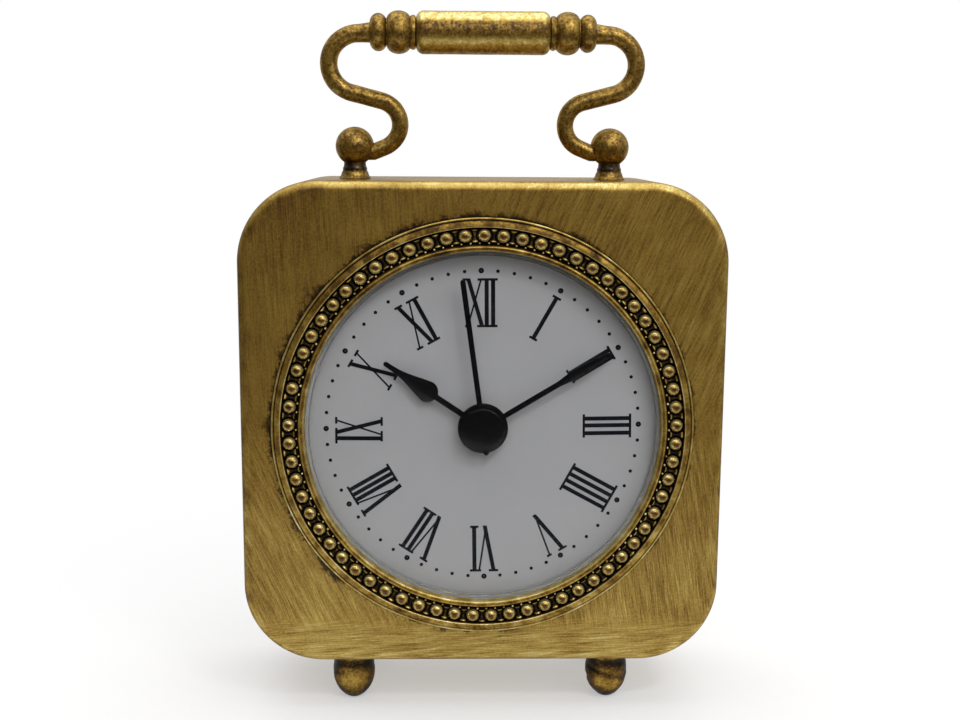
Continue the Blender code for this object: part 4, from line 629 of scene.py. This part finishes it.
def build_bezel():
    def place(turn, radius, depth, level):
        a, b = math.cos(turn), math.sin(turn)
        wander = 0.03 * rough((a * 9, depth * 0.9, b * 9)) if depth < -0.5 else 0.0
        rub = 0.22 * rough((a * 16, radius * 0.4, b * 16)) if level > -0.3 else 0.0
        # Painted shade: the bezel darkens a little towards the top.
        return at(a * radius, depth + wander, b * radius), level - 0.07 * smooth(0.2, 0.9, b) + rub

    shape = Shape()
    shape.grid(bezel_profile(), BEAD_COUNT * 8, place, loop=True)
    dressed(shape.object("bezel_casting", cast_gold, 50), "bezel_ring")


def build_beads():
    """Sixty-five round beads, one at the top, each on a short stem in the channel."""
    shape = Shape()
    middle, steps, span, stem_end = BEAD_RADIUS - BEAD_PROUD, 12, 0.66 * math.pi, 0.28
    for number in range(BEAD_COUNT):
        x, z = polar(BEAD_CIRCLE, TURN * number / BEAD_COUNT)
        size = 0.96 * BEAD_RADIUS * (1 + 0.03 * rough((number * 1.7, 0.5, 0)))
        # Painted reflection on each bead: a dark centre, a bright painted highlight ring round it, and
        # painted shade towards the stem.
        dark_centre_reflection = -0.22 + 0.12 * rough((number * 3.1, 11, 0))
        profile, wear_and_light = [(0, middle - BEAD_RADIUS)], [dark_centre_reflection]
        for share in (i / steps for i in range(1, steps + 1)):
            turn = span * share
            profile.append((size * math.sin(turn), middle - BEAD_RADIUS * math.cos(turn)))
            wear_and_light.append(dark_centre_reflection + (0.36 - dark_centre_reflection) * smooth(0.1, 0.45, share) - 0.6 * smooth(0.62, 0.95, share))
        profile += [(size * 0.8, stem_end), (0, stem_end)]
        shape.turned(profile, 24, at(x, 0, z), wear_and_light=wear_and_light + [-0.5, -0.5])
    dressed(shape.object("bezel_beads", bead_gold, 60))


def build_reels():
    """Between each two beads, a dark waisted reel that lies across the channel."""
    shape = Shape()
    steps, half_length, waist, flare, flat, depth = 14, 1.42, 0.2, 0.62, 0.8, -1.0
    spots = [-1 + 2 * i / steps for i in range(steps + 1)]
    rows = [(waist + flare * abs(along) ** 2, along) for along in spots]
    for number in range(BEAD_COUNT):
        turn = TURN * (number + 0.5) / BEAD_COUNT

        def place(angle, radius, along):
            x, z = polar(BEAD_CIRCLE + half_length * along, turn)
            aside_x, aside_z = polar(radius * math.cos(angle), turn + TURN / 4)
            end = abs(along)
            level = 0.7 * (smooth(0.65, 0.85, end) - smooth(0.92, 1.0, end)) - 0.10 * smooth(0.2, 0.5, end)
            level += 0.3 * rough((number * 1.9, along * 2, 0)) - 0.32
            return at(x + aside_x, depth + flat * radius * math.sin(angle), z + aside_z), level

        shape.grid(rows, 12, place)
    dressed(shape.object("bezel_reels", cast_gold, 40))


def build_pellets():
    """Tiny worn pellets along the inner side of the channel, two to a bead."""
    shape = Shape()
    count, tip, floor = BEAD_COUNT * 2, -1.25, 0.2
    for number in range(count):
        x, z = polar(RIM_OUTER + 0.1, TURN * (number + 0.5) / count)
        size = 0.25 + 0.12 * rough((number * 2.3, 7, 0))
        profile = [(0, tip - size)]
        profile += [(size * math.sin(a), tip - size * math.cos(a)) for a in (0.6, 1.1, 1.57)]
        profile += [(size, floor), (0, floor)]
        shine = 0.34 + 0.5 * rough((number * 1.3, 3, 0))
        shape.turned(profile, 10, at(x, 0, z), wear_and_light=[shine, shine, shine - 0.05, -0.2, -0.5, -0.5])
    dressed(shape.object("bezel_pellets", cast_gold, 60))


# Lens

def build_lens():
    """A clear cup: low dome, rounded shoulder, short wall and a flange behind the bezel's inner rim."""
    wall, thickness, proud, rise, rounding = 39.4, 0.7, 2.6, 0.9, 1.5
    flange, back, fillet, steps = 41.2, 2.5, 0.2, 24
    front, brim, shoulder = back - 0.9, wall - rounding, rise - proud + rounding
    dome = [(brim * i / steps, rise * (i / steps) ** 2 - proud) for i in range(steps)]
    profile = dome + arc(brim, shoulder, rounding, -88, 0, 14)
    profile += [(wall, front - fillet), (wall + fillet, front), (flange, front), (flange, back)]
    profile += [(wall - thickness, back), *arc(brim, shoulder, rounding - thickness, 0, -88, 14)]
    profile += [(radius, depth + thickness) for radius, depth in reversed(dome)]
    shape = Shape()
    shape.turned(profile, 192, at(0, 0, 0))
    dressed(shape.object("lens_clear", lens_clear, 60), "lens", slot="clear_lens")


# Dial printing. Strokes and serifs are given in millimetres across the numeral.

THICK, THIN, SERIF = 0.93, 0.41, 0.54
NUMERAL_INNER, NUMERAL_OUTER = 22.7, 33.7
NUMERAL_MIDDLE = (NUMERAL_INNER + NUMERAL_OUTER) / 2
DOT_CIRCLE = 35.1 * MM
DOT, HOUR_DOT, HOUR_DOT_CENTRE = 0.40 * MM, 0.62 * MM, 0.06 * MM
PRINT_TURN = math.radians(-0.88)
PRINT = (DIAL_FACE - 0.03, DIAL_FACE + 0.01)


def slant(foot, head, width=THICK):
    half, low, high = width / 2, NUMERAL_INNER, NUMERAL_OUTER
    return [(foot - half, low), (foot + half, low), (head + half, high), (head - half, high)]


def thin(foot, head):
    return slant(foot, head, THIN)


def bar(middle):
    return slant(middle, middle)


def sole(left, right, low=NUMERAL_INNER):
    return [(left, low), (right, low), (right, low + SERIF), (left, low + SERIF)]


def top(left, right):
    return sole(left, right, NUMERAL_OUTER - SERIF)


# Hour: sideways and outward shift, turn in degrees, height scale, strokes
NUMERALS = {
    1: (-0.02, -0.1, 0.3, 1, bar(0), top(-1.03, 1.06), sole(-0.96, 0.99)),
    2: (0.45, -0.3, -0.6, 1.005, bar(-0.98), bar(0.76), top(-1.92, 1.55), sole(-1.92, 1.48)),
    3: (0.25, -0.2, 0, 0.998, bar(-1.68), bar(-0.1), bar(1.68), top(-2.71, 2.78), sole(-2.67, 2.67)),
    4: (0.7, -0.2, -0.4, 1.043, bar(-2.48), bar(-0.85), bar(0.81), bar(2.44), top(-3.56, 3.49),
        sole(-3.49, 3.52)),
    5: (0.32, 0.72, 1.1, 0.942, slant(0.24, -1.73), thin(0.06, 1.73), top(-2.76, -0.57), top(1.15, 2.38)),
    6: (0.15, 0.34, 0, 0.989, slant(-0.4, -2.42), thin(-0.74, 0.98), bar(2), top(-3.44, -1.26),
        top(0.46, 3.06), sole(0.99, 2.94)),
    7: (-0.6, 0.08, 4, 0.985, slant(-0.77, -3.41), thin(-1.05, 0.05), bar(0.93), bar(2.41),
        top(-4.28, -2.27), top(-0.43, 3.39), sole(0, 3.39)),
    8: (-0.6, 0, 0.6, 0.992, slant(-1.54, -3.04), thin(-1.87, -0.22), bar(0.51), bar(1.85), bar(3.26),
        top(-3.85, -2.09), top(-0.72, 4.17), sole(-0.46, 4.27)),
    9: (-0.15, -0.45, 1.1, 0.972, bar(-2.2), slant(1.84, -0.9), thin(-1.42, 2.02), top(-3.42, 0.17),
        top(1.15, 2.67), sole(-2.9, -0.51), sole(0.69, 2.68)),
    10: (-0.75, -0.6, 1.4, 0.98, slant(1.65, -1.43), thin(-1.65, 1.54), top(-2.22, -0.29),
         top(0.66, 2.23), sole(-2.3, -0.7), sole(0.44, 2.3)),
    11: (-0.6, -0.7, 2.1, 0.985, slant(0.98, -2.13), thin(-2.29, 0.82), bar(1.97), top(-2.94, -1.04),
         top(-0.04, 3.05), sole(-2.9, -1.36), sole(-0.23, 2.92)),
    12: (-0.3, -0.26, 0.3, 0.992, slant(0.47, -2.65), thin(-2.82, 0.27), bar(1.44), bar(2.86),
         top(-3.94, -2.51), top(-0.58, 3.9), sole(-3.4, -2.68), sole(-0.7, 3.84)),
}


def build_numerals():
    """Roman numerals, upright to the centre, each the union of its strokes and serifs."""
    for hour, (shift, lift, lean, height, *strokes) in NUMERALS.items():
        turn = TURN * hour / 12 + PRINT_TURN
        out, side = Vector(polar(MM, turn)), Vector(polar(MM, turn + TURN / 4))
        cosine, sine = math.cos(math.radians(lean)), math.sin(math.radians(lean))
        outlines = []
        for stroke in strokes:
            outline = []
            for u, v in stroke:
                v = (v - NUMERAL_MIDDLE) * height
                across, along = u * cosine + v * sine + shift, v * cosine - u * sine + lift + NUMERAL_MIDDLE
                outline.append(tuple(side * across + out * along))
            outlines.append(outline)
        shape = Shape()
        shape.plate(*PRINT, outlines)
        dressed(shape.object("numeral_%02d" % hour, ink), slot="dial_white")


def build_minute_marks():
    """Sixty printed dots; every fifth is larger, with a small pale centre."""
    shape = Shape()
    for minute in range(60):
        x, z = polar(DOT_CIRCLE, TURN * minute / 60 + PRINT_TURN)
        if minute % 5:
            shape.plate(*PRINT, [circle(x, z, DOT)])
        else:
            shape.plate(*PRINT, [circle(x, z, HOUR_DOT)], [circle(x, z, HOUR_DOT_CENTRE, 12)])
    dressed(shape.object("minute_marks", ink), slot="dial_white")


# Hands

HAND_THICKNESS = 0.35
HAND_SPACING = 0.8
HOUR_HAND_FRONT = DIAL_FACE - 1.85
HUB_RADIUS = 5.6 * MM


def laid(outline, turn):
    """An outline of (offset, distance) points in millimetres, turned clockwise, in metres."""
    along, side = Vector(polar(1.0, turn)), Vector(polar(1.0, turn + TURN / 4))
    return [tuple(side * (a * MM) + along * (b * MM)) for a, b in outline]


def build_hand(name, node, body, right, turn, front, bore):
    """A stamped hand from its right side's points, with its hub disc and its edges eased."""
    outline = laid(right + [(-a, b) for a, b in reversed(right) if a > 0], turn)
    shape = Shape()
    outlines, holes = [outline, circle(0, 0, HUB_RADIUS, 72)], [circle(0, 0, bore)]
    shape.plate(front, front + HAND_THICKNESS, outlines, holes)
    piece = shape.object(name, lacquer)
    mesh = bmesh.new()
    mesh.from_mesh(piece.data)
    bmesh.ops.dissolve_limit(mesh, angle_limit=0.01, verts=mesh.verts, edges=mesh.edges)
    rims = [edge for edge in mesh.edges
            if len(edge.link_faces) == 2 and edge.calc_face_angle() > math.radians(60)
            and abs(edge.verts[0].co.y - edge.verts[1].co.y) < 1e-7]
    easing = {"offset": 0.07 * MM, "segments": 2, "profile": 0.5}
    bmesh.ops.bevel(mesh, geom=rims, affect="EDGES", clamp_overlap=True, **easing)
    mesh.to_mesh(piece.data)
    mesh.free()
    shade(piece.data, 40)
    dressed(piece, node, body=body, slot="black_lacquer")


def build_hour_hand():
    arm, bulb, radius, length = 0.66, 14.9, 2.4, 26.5
    right = [(arm, 0), (arm, bulb - radius * 1.08), *arc(0, bulb, radius, -72, 20, 18)]
    neck = ((1.88, 2.4), (1.38, 4.2), (0.95, 6.0), (0.68, 7.8), (0.58, 9.4))
    right += [(half, bulb + rise) for half, rise in neck]
    right += [(0.55, length - 0.55), (0.48, length - 0.25), (0.3, length - 0.07), (0.1, length)]
    build_hand("hour_hand_drop", "hour_hand", "hour", right, HOUR_ANGLE, HOUR_HAND_FRONT, 2.5 * MM)


def build_minute_hand():
    right = [(0.62, 0), (0.62, 19.2), (0.66, 20.2), (1.0, 22.6), (1.1, 23.6), (1.06, 24.8)]
    right += [(0.45, 32.6), (0.2, 33.0)]
    front = HOUR_HAND_FRONT - HAND_SPACING
    build_hand("minute_hand_lozenge", "minute_hand", "minute", right, MINUTE_ANGLE, front, 1.9 * MM)


def build_second_hand():
    """A straight hand with round ends, and the glossy cap over the hub."""
    front = HOUR_HAND_FRONT - 2 * HAND_SPACING
    back, face = front + HAND_THICKNESS, front - 0.6
    half, length, tail, bore = 0.6, 33.7, 5.95, 1.0
    cap, rounding, sleeve_end = 4.75, 0.3, back - 0.65
    outline = arc(0, length - half, half, 0, 180, 12) + arc(0, half - tail, half, 180, 360, 12)
    shape = Shape()
    shape.plate(front, back, [laid(outline, SECOND_ANGLE)], [circle(0, 0, bore * MM)])
    profile = [(0, face), (cap * 0.5, face + 0.015), (cap - 0.42, face + 0.06)]
    profile += arc(cap - rounding, face + 0.38, rounding, -80, 0, 7)
    profile += [(cap, back), (bore, back), (bore, sleeve_end), (0, sleeve_end)]
    shape.turned(profile, 96, at(0, 0, 0))
    piece = shape.object("second_hand_baton", lacquer, 50)
    dressed(piece, "second_hand", body="seconds", slot="black_lacquer")


# Handle

HANDLE_DEPTH = 20
BALL_X, BALL_HEIGHT, BALL_RADIUS = 29.3, 7.3, 4.4
GRIP_HEIGHT = BALL_HEIGHT + 25.5
GRIP_HALF = 15.25
GRIP_RADIUS = (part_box("handle")[1].z - CENTRE) / MM - HALF_HEIGHT - GRIP_HEIGHT
BEAD_START = GRIP_HALF + 1.3
ARM_TOP, ARM_END = 2.05, 1.85
POST_RINGS = ((0.12, 0.3, 0.07), (0.16, 0.6, 0.09))


def bead_points(start, length, radius, neck, steps):
    points = []
    for i in range(1, steps):
        turn = math.pi * i / steps
        swell = math.sin(turn) ** 1.3
        points.append((neck + (radius - neck) * swell, start + length * (1 - math.cos(turn)) / 2))
    return points


def grip_shape():
    """The grip, with a large and a small bead at each end."""
    rounding, neck, waist, large, small = 1.8, 3.7, 3.35, 5.2, 3.8
    second = BEAD_START + large + 0.1
    end = second + small
    half = [(GRIP_RADIUS, 0.01), (GRIP_RADIUS * 0.995, GRIP_HALF * 0.5)]
    half += arc(GRIP_RADIUS - rounding, GRIP_HALF - rounding, rounding, 0, 90, 7)
    half += [(neck, GRIP_HALF + 0.1), (neck + 0.2, GRIP_HALF + 0.65), (neck, BEAD_START - 0.1)]
    half += bead_points(BEAD_START, large, GRIP_RADIUS, 3.4, 18)
    half += [(waist, second - 0.1), (waist, second), *bead_points(second, small, 4.25, 2.6, 16)]
    half += [(ARM_TOP * 0.9, end), (0, end)]
    shape = Shape()
    middle = at(0, HANDLE_DEPTH, HALF_HEIGHT + GRIP_HEIGHT)
    shape.turned([(a, -b) for a, b in reversed(half)] + half, 56, middle, axis="x")
    return shape


def arm_path(side):
    """The arm's middle line: round the upper bend, then the other way round the lower one, to the ball."""
    grip_end = BEAD_START + 9.1
    upper_radius, lower_radius, entry = 6.7, 5.5, BALL_HEIGHT - 1.3
    upper = Vector((grip_end + 2.70, GRIP_HEIGHT - 0.3 - upper_radius))
    lower = Vector((BALL_X - 4.9, BALL_HEIGHT - 0.6 + lower_radius))
    line = lower - upper
    leave = math.degrees(math.atan2(line.y, line.x) - math.asin((upper_radius + lower_radius) / line.length))
    points = [(grip_end - 1.55, GRIP_HEIGHT)]
    points += arc(upper.x, upper.y, upper_radius, 90, leave + 90, 26)
    points += arc(lower.x, lower.y, lower_radius, leave + 270, 248, 22)
    points += [(BALL_X - 4.3, entry), (BALL_X - 1.5, entry)]
    return [Vector((side * x, z)) for x, z in points]


def arm_shape(side):
    """One arm: a round bar swept along its middle line, tapering slightly and a little uneven."""
    path, fine, around = arm_path(side), [], 20
    for a, b in zip(path, path[1:]):
        parts = max(1, int((b - a).length))
        fine += [a.lerp(b, i / parts) for i in range(parts)]
    fine.append(path[-1])
    last = len(fine) - 1
    rings = []
    for number, point in enumerate(fine):
        tangent = (fine[min(last, number + 1)] - fine[max(0, number - 1)]).normalized()
        radius = ARM_TOP + (ARM_END - ARM_TOP) * number / last + 0.5 * max(0.0, 1 - number / 5) ** 2
        ring = []
        for k in range(around):
            turn = TURN * k / around
            lump = 1 + 0.025 * rough((point.x * 0.3 + k * 0.2, side, point.y * 0.3))
            a, b = radius * lump * math.cos(turn), radius * lump * math.sin(turn)
            ring.append(at(point.x - tangent.y * a, HANDLE_DEPTH + b, HALF_HEIGHT + point.y + tangent.x * a))
        rings.append(ring)
    shape = Shape()
    shape.rings(rings)
    return shape


def post_shape(side):
    """A ball on its waisted neck, which has fine rings and a flange on the case."""
    neck, flange, sill, steps = 2.5, 3.65, 0.3, 14
    neck_end = math.acos(neck / BALL_RADIUS)
    neck_rise = BALL_HEIGHT - BALL_RADIUS * math.sin(neck_end) - sill
    points = [(0, 0.02), (flange - 0.05, 0.02), (flange, 0.1), (flange - 0.1, sill)]
    for share in (i / steps for i in range(1, steps)):
        ring = sum(high * math.exp(-((share - place) / width) ** 2) for high, place, width in POST_RINGS)
        flare = (flange - 0.15 - neck) * (1 - share) ** 2.2
        points.append((neck + flare + ring, sill + neck_rise * share))
    points += arc(0, BALL_HEIGHT, BALL_RADIUS, -math.degrees(neck_end), 86, 22)
    points.append((0, BALL_HEIGHT + BALL_RADIUS))
    shape = Shape()
    shape.turned(points, 40, at(side * BALL_X, HANDLE_DEPTH, HALF_HEIGHT), axis="z")
    return shape


def handle_light_and_shade(spot):
    """Painted light and shade on the handle: a painted highlight along the grip's upper shoulder, a darker
    painted band under it, a lighter lower side as a painted reflection of the case top and floor, and painted
    shade on the necks under the balls, just above the case.
    """
    rise = (spot.z - CENTRE) / MM - HALF_HEIGHT
    lift = (rise - GRIP_HEIGHT) / GRIP_RADIUS
    if abs(spot.x) < GRIP_HALF * MM and lift > -1.2:
        shoulder = smooth(0.42, 0.60, lift) - smooth(0.93, 1.0, lift)
        middle = smooth(-0.06, 0.06, lift) - smooth(0.32, 0.44, lift)
        lower = smooth(-0.9, -0.65, lift) - smooth(-0.3, -0.12, lift)
        return 0.34 * shoulder - 0.10 * middle + 0.20 * lower
    return -0.26 * (smooth(1.2, 2.0, rise) - smooth(3.2, 4.8, rise))


def build_handle():
    handle = grip_shape().object("handle_casting", handle_gold)
    for side in (-1, 1):
        for shape in (arm_shape(side), post_shape(side)):
            combine(handle, shape.object("part", handle_gold), "UNION")
    shade(handle.data, 38)
    set_wear_and_light(handle.data, [handle_light_and_shade(vertex.co) for vertex in handle.data.vertices])
    dressed(handle, "handle")


# Feet

FOOT_X = 29.8
FOOT_DEPTHS = {"front": 9.0, "rear": 31.0}


def foot_profile():
    """Radius and height: flat sole, egg-shaped ball, waist and thin collar."""
    top, radius, equator, waist, waist_height, sole = 11.4, 4.9, 6.2, 4.5, 9.6, 1.5
    drop = math.acos(sole / radius)
    height = equator / math.sin(drop)
    profile = [(0, 0), (sole * 0.6, 0)]
    for turn in (drop * i / 16 - drop for i in range(17)):
        profile.append((radius * math.cos(turn) ** 1.12, equator + height * math.sin(turn)))
    for share in (i / 8 for i in range(1, 9)):
        profile.append((radius - (radius - waist) * share ** 2, equator + (waist_height - equator) * share))
    return profile + [(waist + 0.1, 9.9), (radius - 0.12, 10.5), (radius, 10.7), (radius, top - 0.12),
                      (radius - 0.1, top), (0, top)]


def build_foot(row, depth, name, side):
    """A cast bun foot, its surface a little lumpy. The front right one is lumpier and has a crease."""
    creased = (row, side) == ("front", 1)
    lumps = 0.64 if creased else 0.36

    def place(turn, radius, z):
        a, b = math.cos(turn), math.sin(turn)
        spot = (a * 1.3 + side * 5, b * 1.3 + depth * 0.3, z * 0.45)
        keep = smooth(0.0, 1.2, z) * (1 - smooth(9.0, 10.4, z))
        bite = max(0.0, rough(spot) + 0.35 * rough(spot, 2.6)) * lumps * keep
        crease = math.exp(-((z - 6.3 + 1.5 * a) / 0.5) ** 2) * smooth(0.2, 0.7, -b) if creased else 0.0
        r = radius - bite - 0.3 * crease * keep
        level = 0.02 - 0.25 * bite - 0.24 * crease
        level += 0.3 * max(0.0, rough(spot, 7)) * smooth(8.4, 9.4, z)  # specks on the collar
        # Painted light and shade: the belly is lighter as a painted highlight, and the sole, the flanks and
        # the waist under the case are darker as painted shade.
        level += 0.10 * smooth(2.4, 4.4, z) * (1 - smooth(5.5, 7.5, z))  # belly
        level -= 0.26 * (1 - smooth(0.8, 3.4, z))  # sole
        level -= 0.26 * smooth(0.45, 0.9, abs(a))  # flanks
        level -= 0.24 * smooth(7.6, 9.0, z) * (1 - smooth(10.0, 10.6, z))  # waist
        return ((side * FOOT_X + r * a) * MM, FRONT + (depth + r * b) * MM, z * MM), level

    shape = Shape()
    shape.grid(foot_profile(), 44, place)
    full = row + "_" + name
    dressed(shape.object("foot_cast_" + full, foot_gold, 50), "foot_" + full)


def build_feet():
    for row, depth in FOOT_DEPTHS.items():
        for name, side in (("left", -1), ("right", 1)):
            build_foot(row, depth, name, side)


# Back: screws and the door's grip ribs

def build_cover_screw(node):
    """A pan-head screw with a cross recess."""
    low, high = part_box(node)
    x, _, z = (low + high) / 2
    length = (high.y - low.y) / MM
    shank, head, seat, side = 1.3, 2.6, length - 1.5, length - 0.95
    profile = [(0, 0), (shank, 0.3), (shank, seat), (head - 0.15, seat), (head, seat + 0.15), (head, side)]
    turns = (0.3, 0.6, 0.9, 1.2, 1.5)
    profile += [(head - 0.9 * (1 - math.cos(turn)), side + 0.93 * math.sin(turn)) for turn in turns]
    shape = Shape()
    shape.turned(profile + [(0, length)], 36, (x, low.y, z))
    screw = shape.object(node.replace("screw", "screw_cross"), FINISHES["bright_steel"])
    half, narrow = 1.35, 0.27
    for turn in (0.3, 0.3 + TURN / 4):
        rings = []
        for rise, scale in ((-0.95, 0.45), (0.4, 1.0)):
            ring = []
            for a, b in ((-half, -narrow), (half, -narrow), (half, narrow), (-half, narrow)):
                u, v = a * scale * MM, b * (0.6 + 0.4 * scale) * MM
                ring.append((x + u * math.cos(turn) - v * math.sin(turn), high.y + rise * MM,
                             z + u * math.sin(turn) + v * math.cos(turn)))
            rings.append(ring)
        cutter = Shape()
        cutter.rings(rings)
        combine(screw, cutter.object("cutter", FINISHES["bright_steel"]), "DIFFERENCE")
    shade(screw.data, 35)
    dressed(screw, node, slot="bright_steel")


def build_cover_screws():
    for corner in ("upper_left", "upper_right", "lower_left", "lower_right"):
        build_cover_screw("cover_screw_" + corner)


def build_door_ribs():
    """Raised finger ribs near the battery door's latch, each shorter than the one above."""
    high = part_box("battery_door")[1]
    shape = Shape()
    for number in range(6):
        z, half = high.z - (3.2 + 1.1 * number) * MM, 6.5 - 0.55 * number
        rings = []
        for depth, tall, narrower in ((-0.54, 0.26, 0.0), (-0.12, 0.26, 0.0), (0.0, 0.13, 0.15)):
            ring = []
            for side, start in ((1, -90), (-1, 90)):
                end = arc(side * (half - narrower), 0, tall, start, start + 180, 8)
                ring += [(a * MM, high.y + depth * MM, z + b * MM) for a, b in end]
            rings.append(ring)
        shape.rings(rings)
    piece = shape.object("battery_door_ribs", FINISHES["black_plastic"], 40)
    dressed(piece, body="door", slot="black_plastic")


# CAD nodes that stay get their slot's finish

def dress_nodes():
    for row in frame["record"]["subparts"]:
        for slot in frame["nodes"][row["node"]].material_slots:
            slot.material = FINISHES[row["material_slot"]]


# Stage, in metres

FADE_RADIUS = 0.2
PALE_SHARE = 0.4
SHEET_RADIUS = 0.32
SKY = (0.14, 0.62, 0.77)
WORLD_STOPS = (
    (0.0, (0.05, 0.042, 0.034)),
    (0.42, (0.09, 0.076, 0.062)),
    (0.55, (0.30, 0.29, 0.28)),
    (0.75, (0.85, 0.85, 0.85)),
    (1.0, (1.0, 1.0, 1.0)),
)
WHITE = (1, 1, 1, 1)

# Lamps: place, width and height, power in watts
LAMPS = {
    "key": ((0.08, -0.64, 0.58), (0.7, 0.5), 2.3),
    "fill": ((0.62, -0.50, 0.42), (0.4, 0.4), 0.8),
    "overhead": ((0.0, 0.10, 0.85), (0.9, 0.9), 3.4),
    "accent": ((0.24, -0.42, 0.56), (0.14, 0.03), 0.6),
}
LAMP_TARGET = Vector((0, 0, 0.07))

# The camera that the photo was fitted with: place, angles in degrees, focal length in pixels of its width
CAMERA_PLACE = (-0.0080, -0.3036, 0.1292)
CAMERA_ANGLES = (9.45, 1.46, 0.37)
FOCAL_LENGTH, PHOTO_WIDTH, SENSOR_WIDTH = 1304.43, 960, 36


def build_stage():
    """A white sheet under the clock. What sees it directly, or in metal or glass, sees a paler shadow."""
    f = Finish("floor_white")
    shades = ((0.0, (0.80, 0.80, 0.80)), (1.0, (0.83, 0.83, 0.83)))
    f.paint(Base_Color=f.ramp(f.grain(3 * MM), shades), Roughness=0.9, Specular_IOR_Level=0.1)
    white = f.add("ShaderNodeEmission", WHITE, 1.0)
    clear = f.add("ShaderNodeBsdfTransparent")
    away = f.add("ShaderNodeVectorMath", f.place, (0.0, 0.005, 0.0), operation="DISTANCE").outputs["Value"]
    path = f.add("ShaderNodeLightPath").outputs
    seen = f.math("MAXIMUM", path["Is Camera Ray"], path["Is Transmission Ray"])
    seen = f.math("MAXIMUM", seen, path["Is Glossy Ray"])
    pale = f.spread(away, 0.05, FADE_RADIUS, PALE_SHARE, 1.0, soft=True)
    sheet = f.mix(f.math("MULTIPLY", seen, pale), f.shader, white)
    edge = f.spread(away, 0.10, SHEET_RADIUS, soft=True)
    f.surface(f.mix(f.math("MULTIPLY", path["Is Glossy Ray"], edge), sheet, clear))
    mesh = bpy.data.meshes.new("floor")
    points = [(x, y, 0) for x, y in circle(0, 0.02, SHEET_RADIUS, 72)]
    mesh.from_pydata(points, [], [list(range(len(points)))])
    mesh.materials.append(f.material)
    floor = linked("floor", mesh)


def build_world():
    """White to the camera, and behind the clock to metal and glass too. In front, dim like a room."""
    world = bpy.data.worlds.new("studio")
    bpy.context.scene.world = world
    world.use_nodes = True
    w = Nodes(world.node_tree)
    w.tree.nodes.clear()
    direction = w.add("ShaderNodeTexCoord").outputs["Generated"]
    lean = w.add("ShaderNodeVectorMath", direction, SKY, operation="DOT_PRODUCT").outputs["Value"]
    room = w.add("ShaderNodeBackground", w.ramp(w.spread(lean, -1.0, 1.0), WORLD_STOPS), 1.0)
    white = w.add("ShaderNodeBackground", WHITE, 1.0)
    path = w.add("ShaderNodeLightPath").outputs
    seen = w.math("MAXIMUM", path["Is Glossy Ray"], path["Is Transmission Ray"])
    seen = w.math("MULTIPLY", seen, w.spread(w.axes(direction)["Y"], 0.2, 0.6))
    seen = w.math("MAXIMUM", seen, path["Is Camera Ray"])
    w.add("ShaderNodeOutputWorld", w.mix(seen, room, white).outputs[0])


def build_lamps():
    for name, (place, size, power) in LAMPS.items():
        lamp = bpy.data.lights.new(name, "AREA")
        lamp.shape = "RECTANGLE"
        lamp.size, lamp.size_y = size
        lamp.energy = power
        item = linked(name, lamp)
        item.location = place
        item.rotation_euler = (LAMP_TARGET - Vector(place)).to_track_quat("-Z", "Y").to_euler()


def build_camera():
    camera = bpy.data.cameras.new("photo_view")
    camera.sensor_width = SENSOR_WIDTH
    camera.lens = FOCAL_LENGTH * SENSOR_WIDTH / PHOTO_WIDTH
    camera.clip_start = 0.01
    pitch, yaw, roll = (math.radians(angle) for angle in CAMERA_ANGLES)
    ahead = Vector((math.sin(yaw) * math.cos(pitch), math.cos(yaw) * math.cos(pitch), -math.sin(pitch)))
    right = Vector((math.cos(yaw), -math.sin(yaw), 0))
    up = right.cross(ahead)
    side = right * math.cos(roll) + up * math.sin(roll)
    top = up * math.cos(roll) - right * math.sin(roll)
    turn = Matrix((side, top, -ahead)).transposed().to_4x4()
    item = linked("photo_view", camera)
    item.matrix_world = Matrix.Translation(CAMERA_PLACE) @ turn
    bpy.context.scene.camera = item


dress_nodes()
build_case()
build_case_posts()
build_bezel()
build_beads()
build_reels()
build_pellets()
build_lens()
build_numerals()
build_minute_marks()
build_hour_hand()
build_minute_hand()
build_second_hand()
build_handle()
build_feet()
build_cover_screws()
build_door_ribs()
build_stage()
build_world()
build_lamps()
build_camera()
bpy.context.scene.view_settings.view_transform = "Standard"
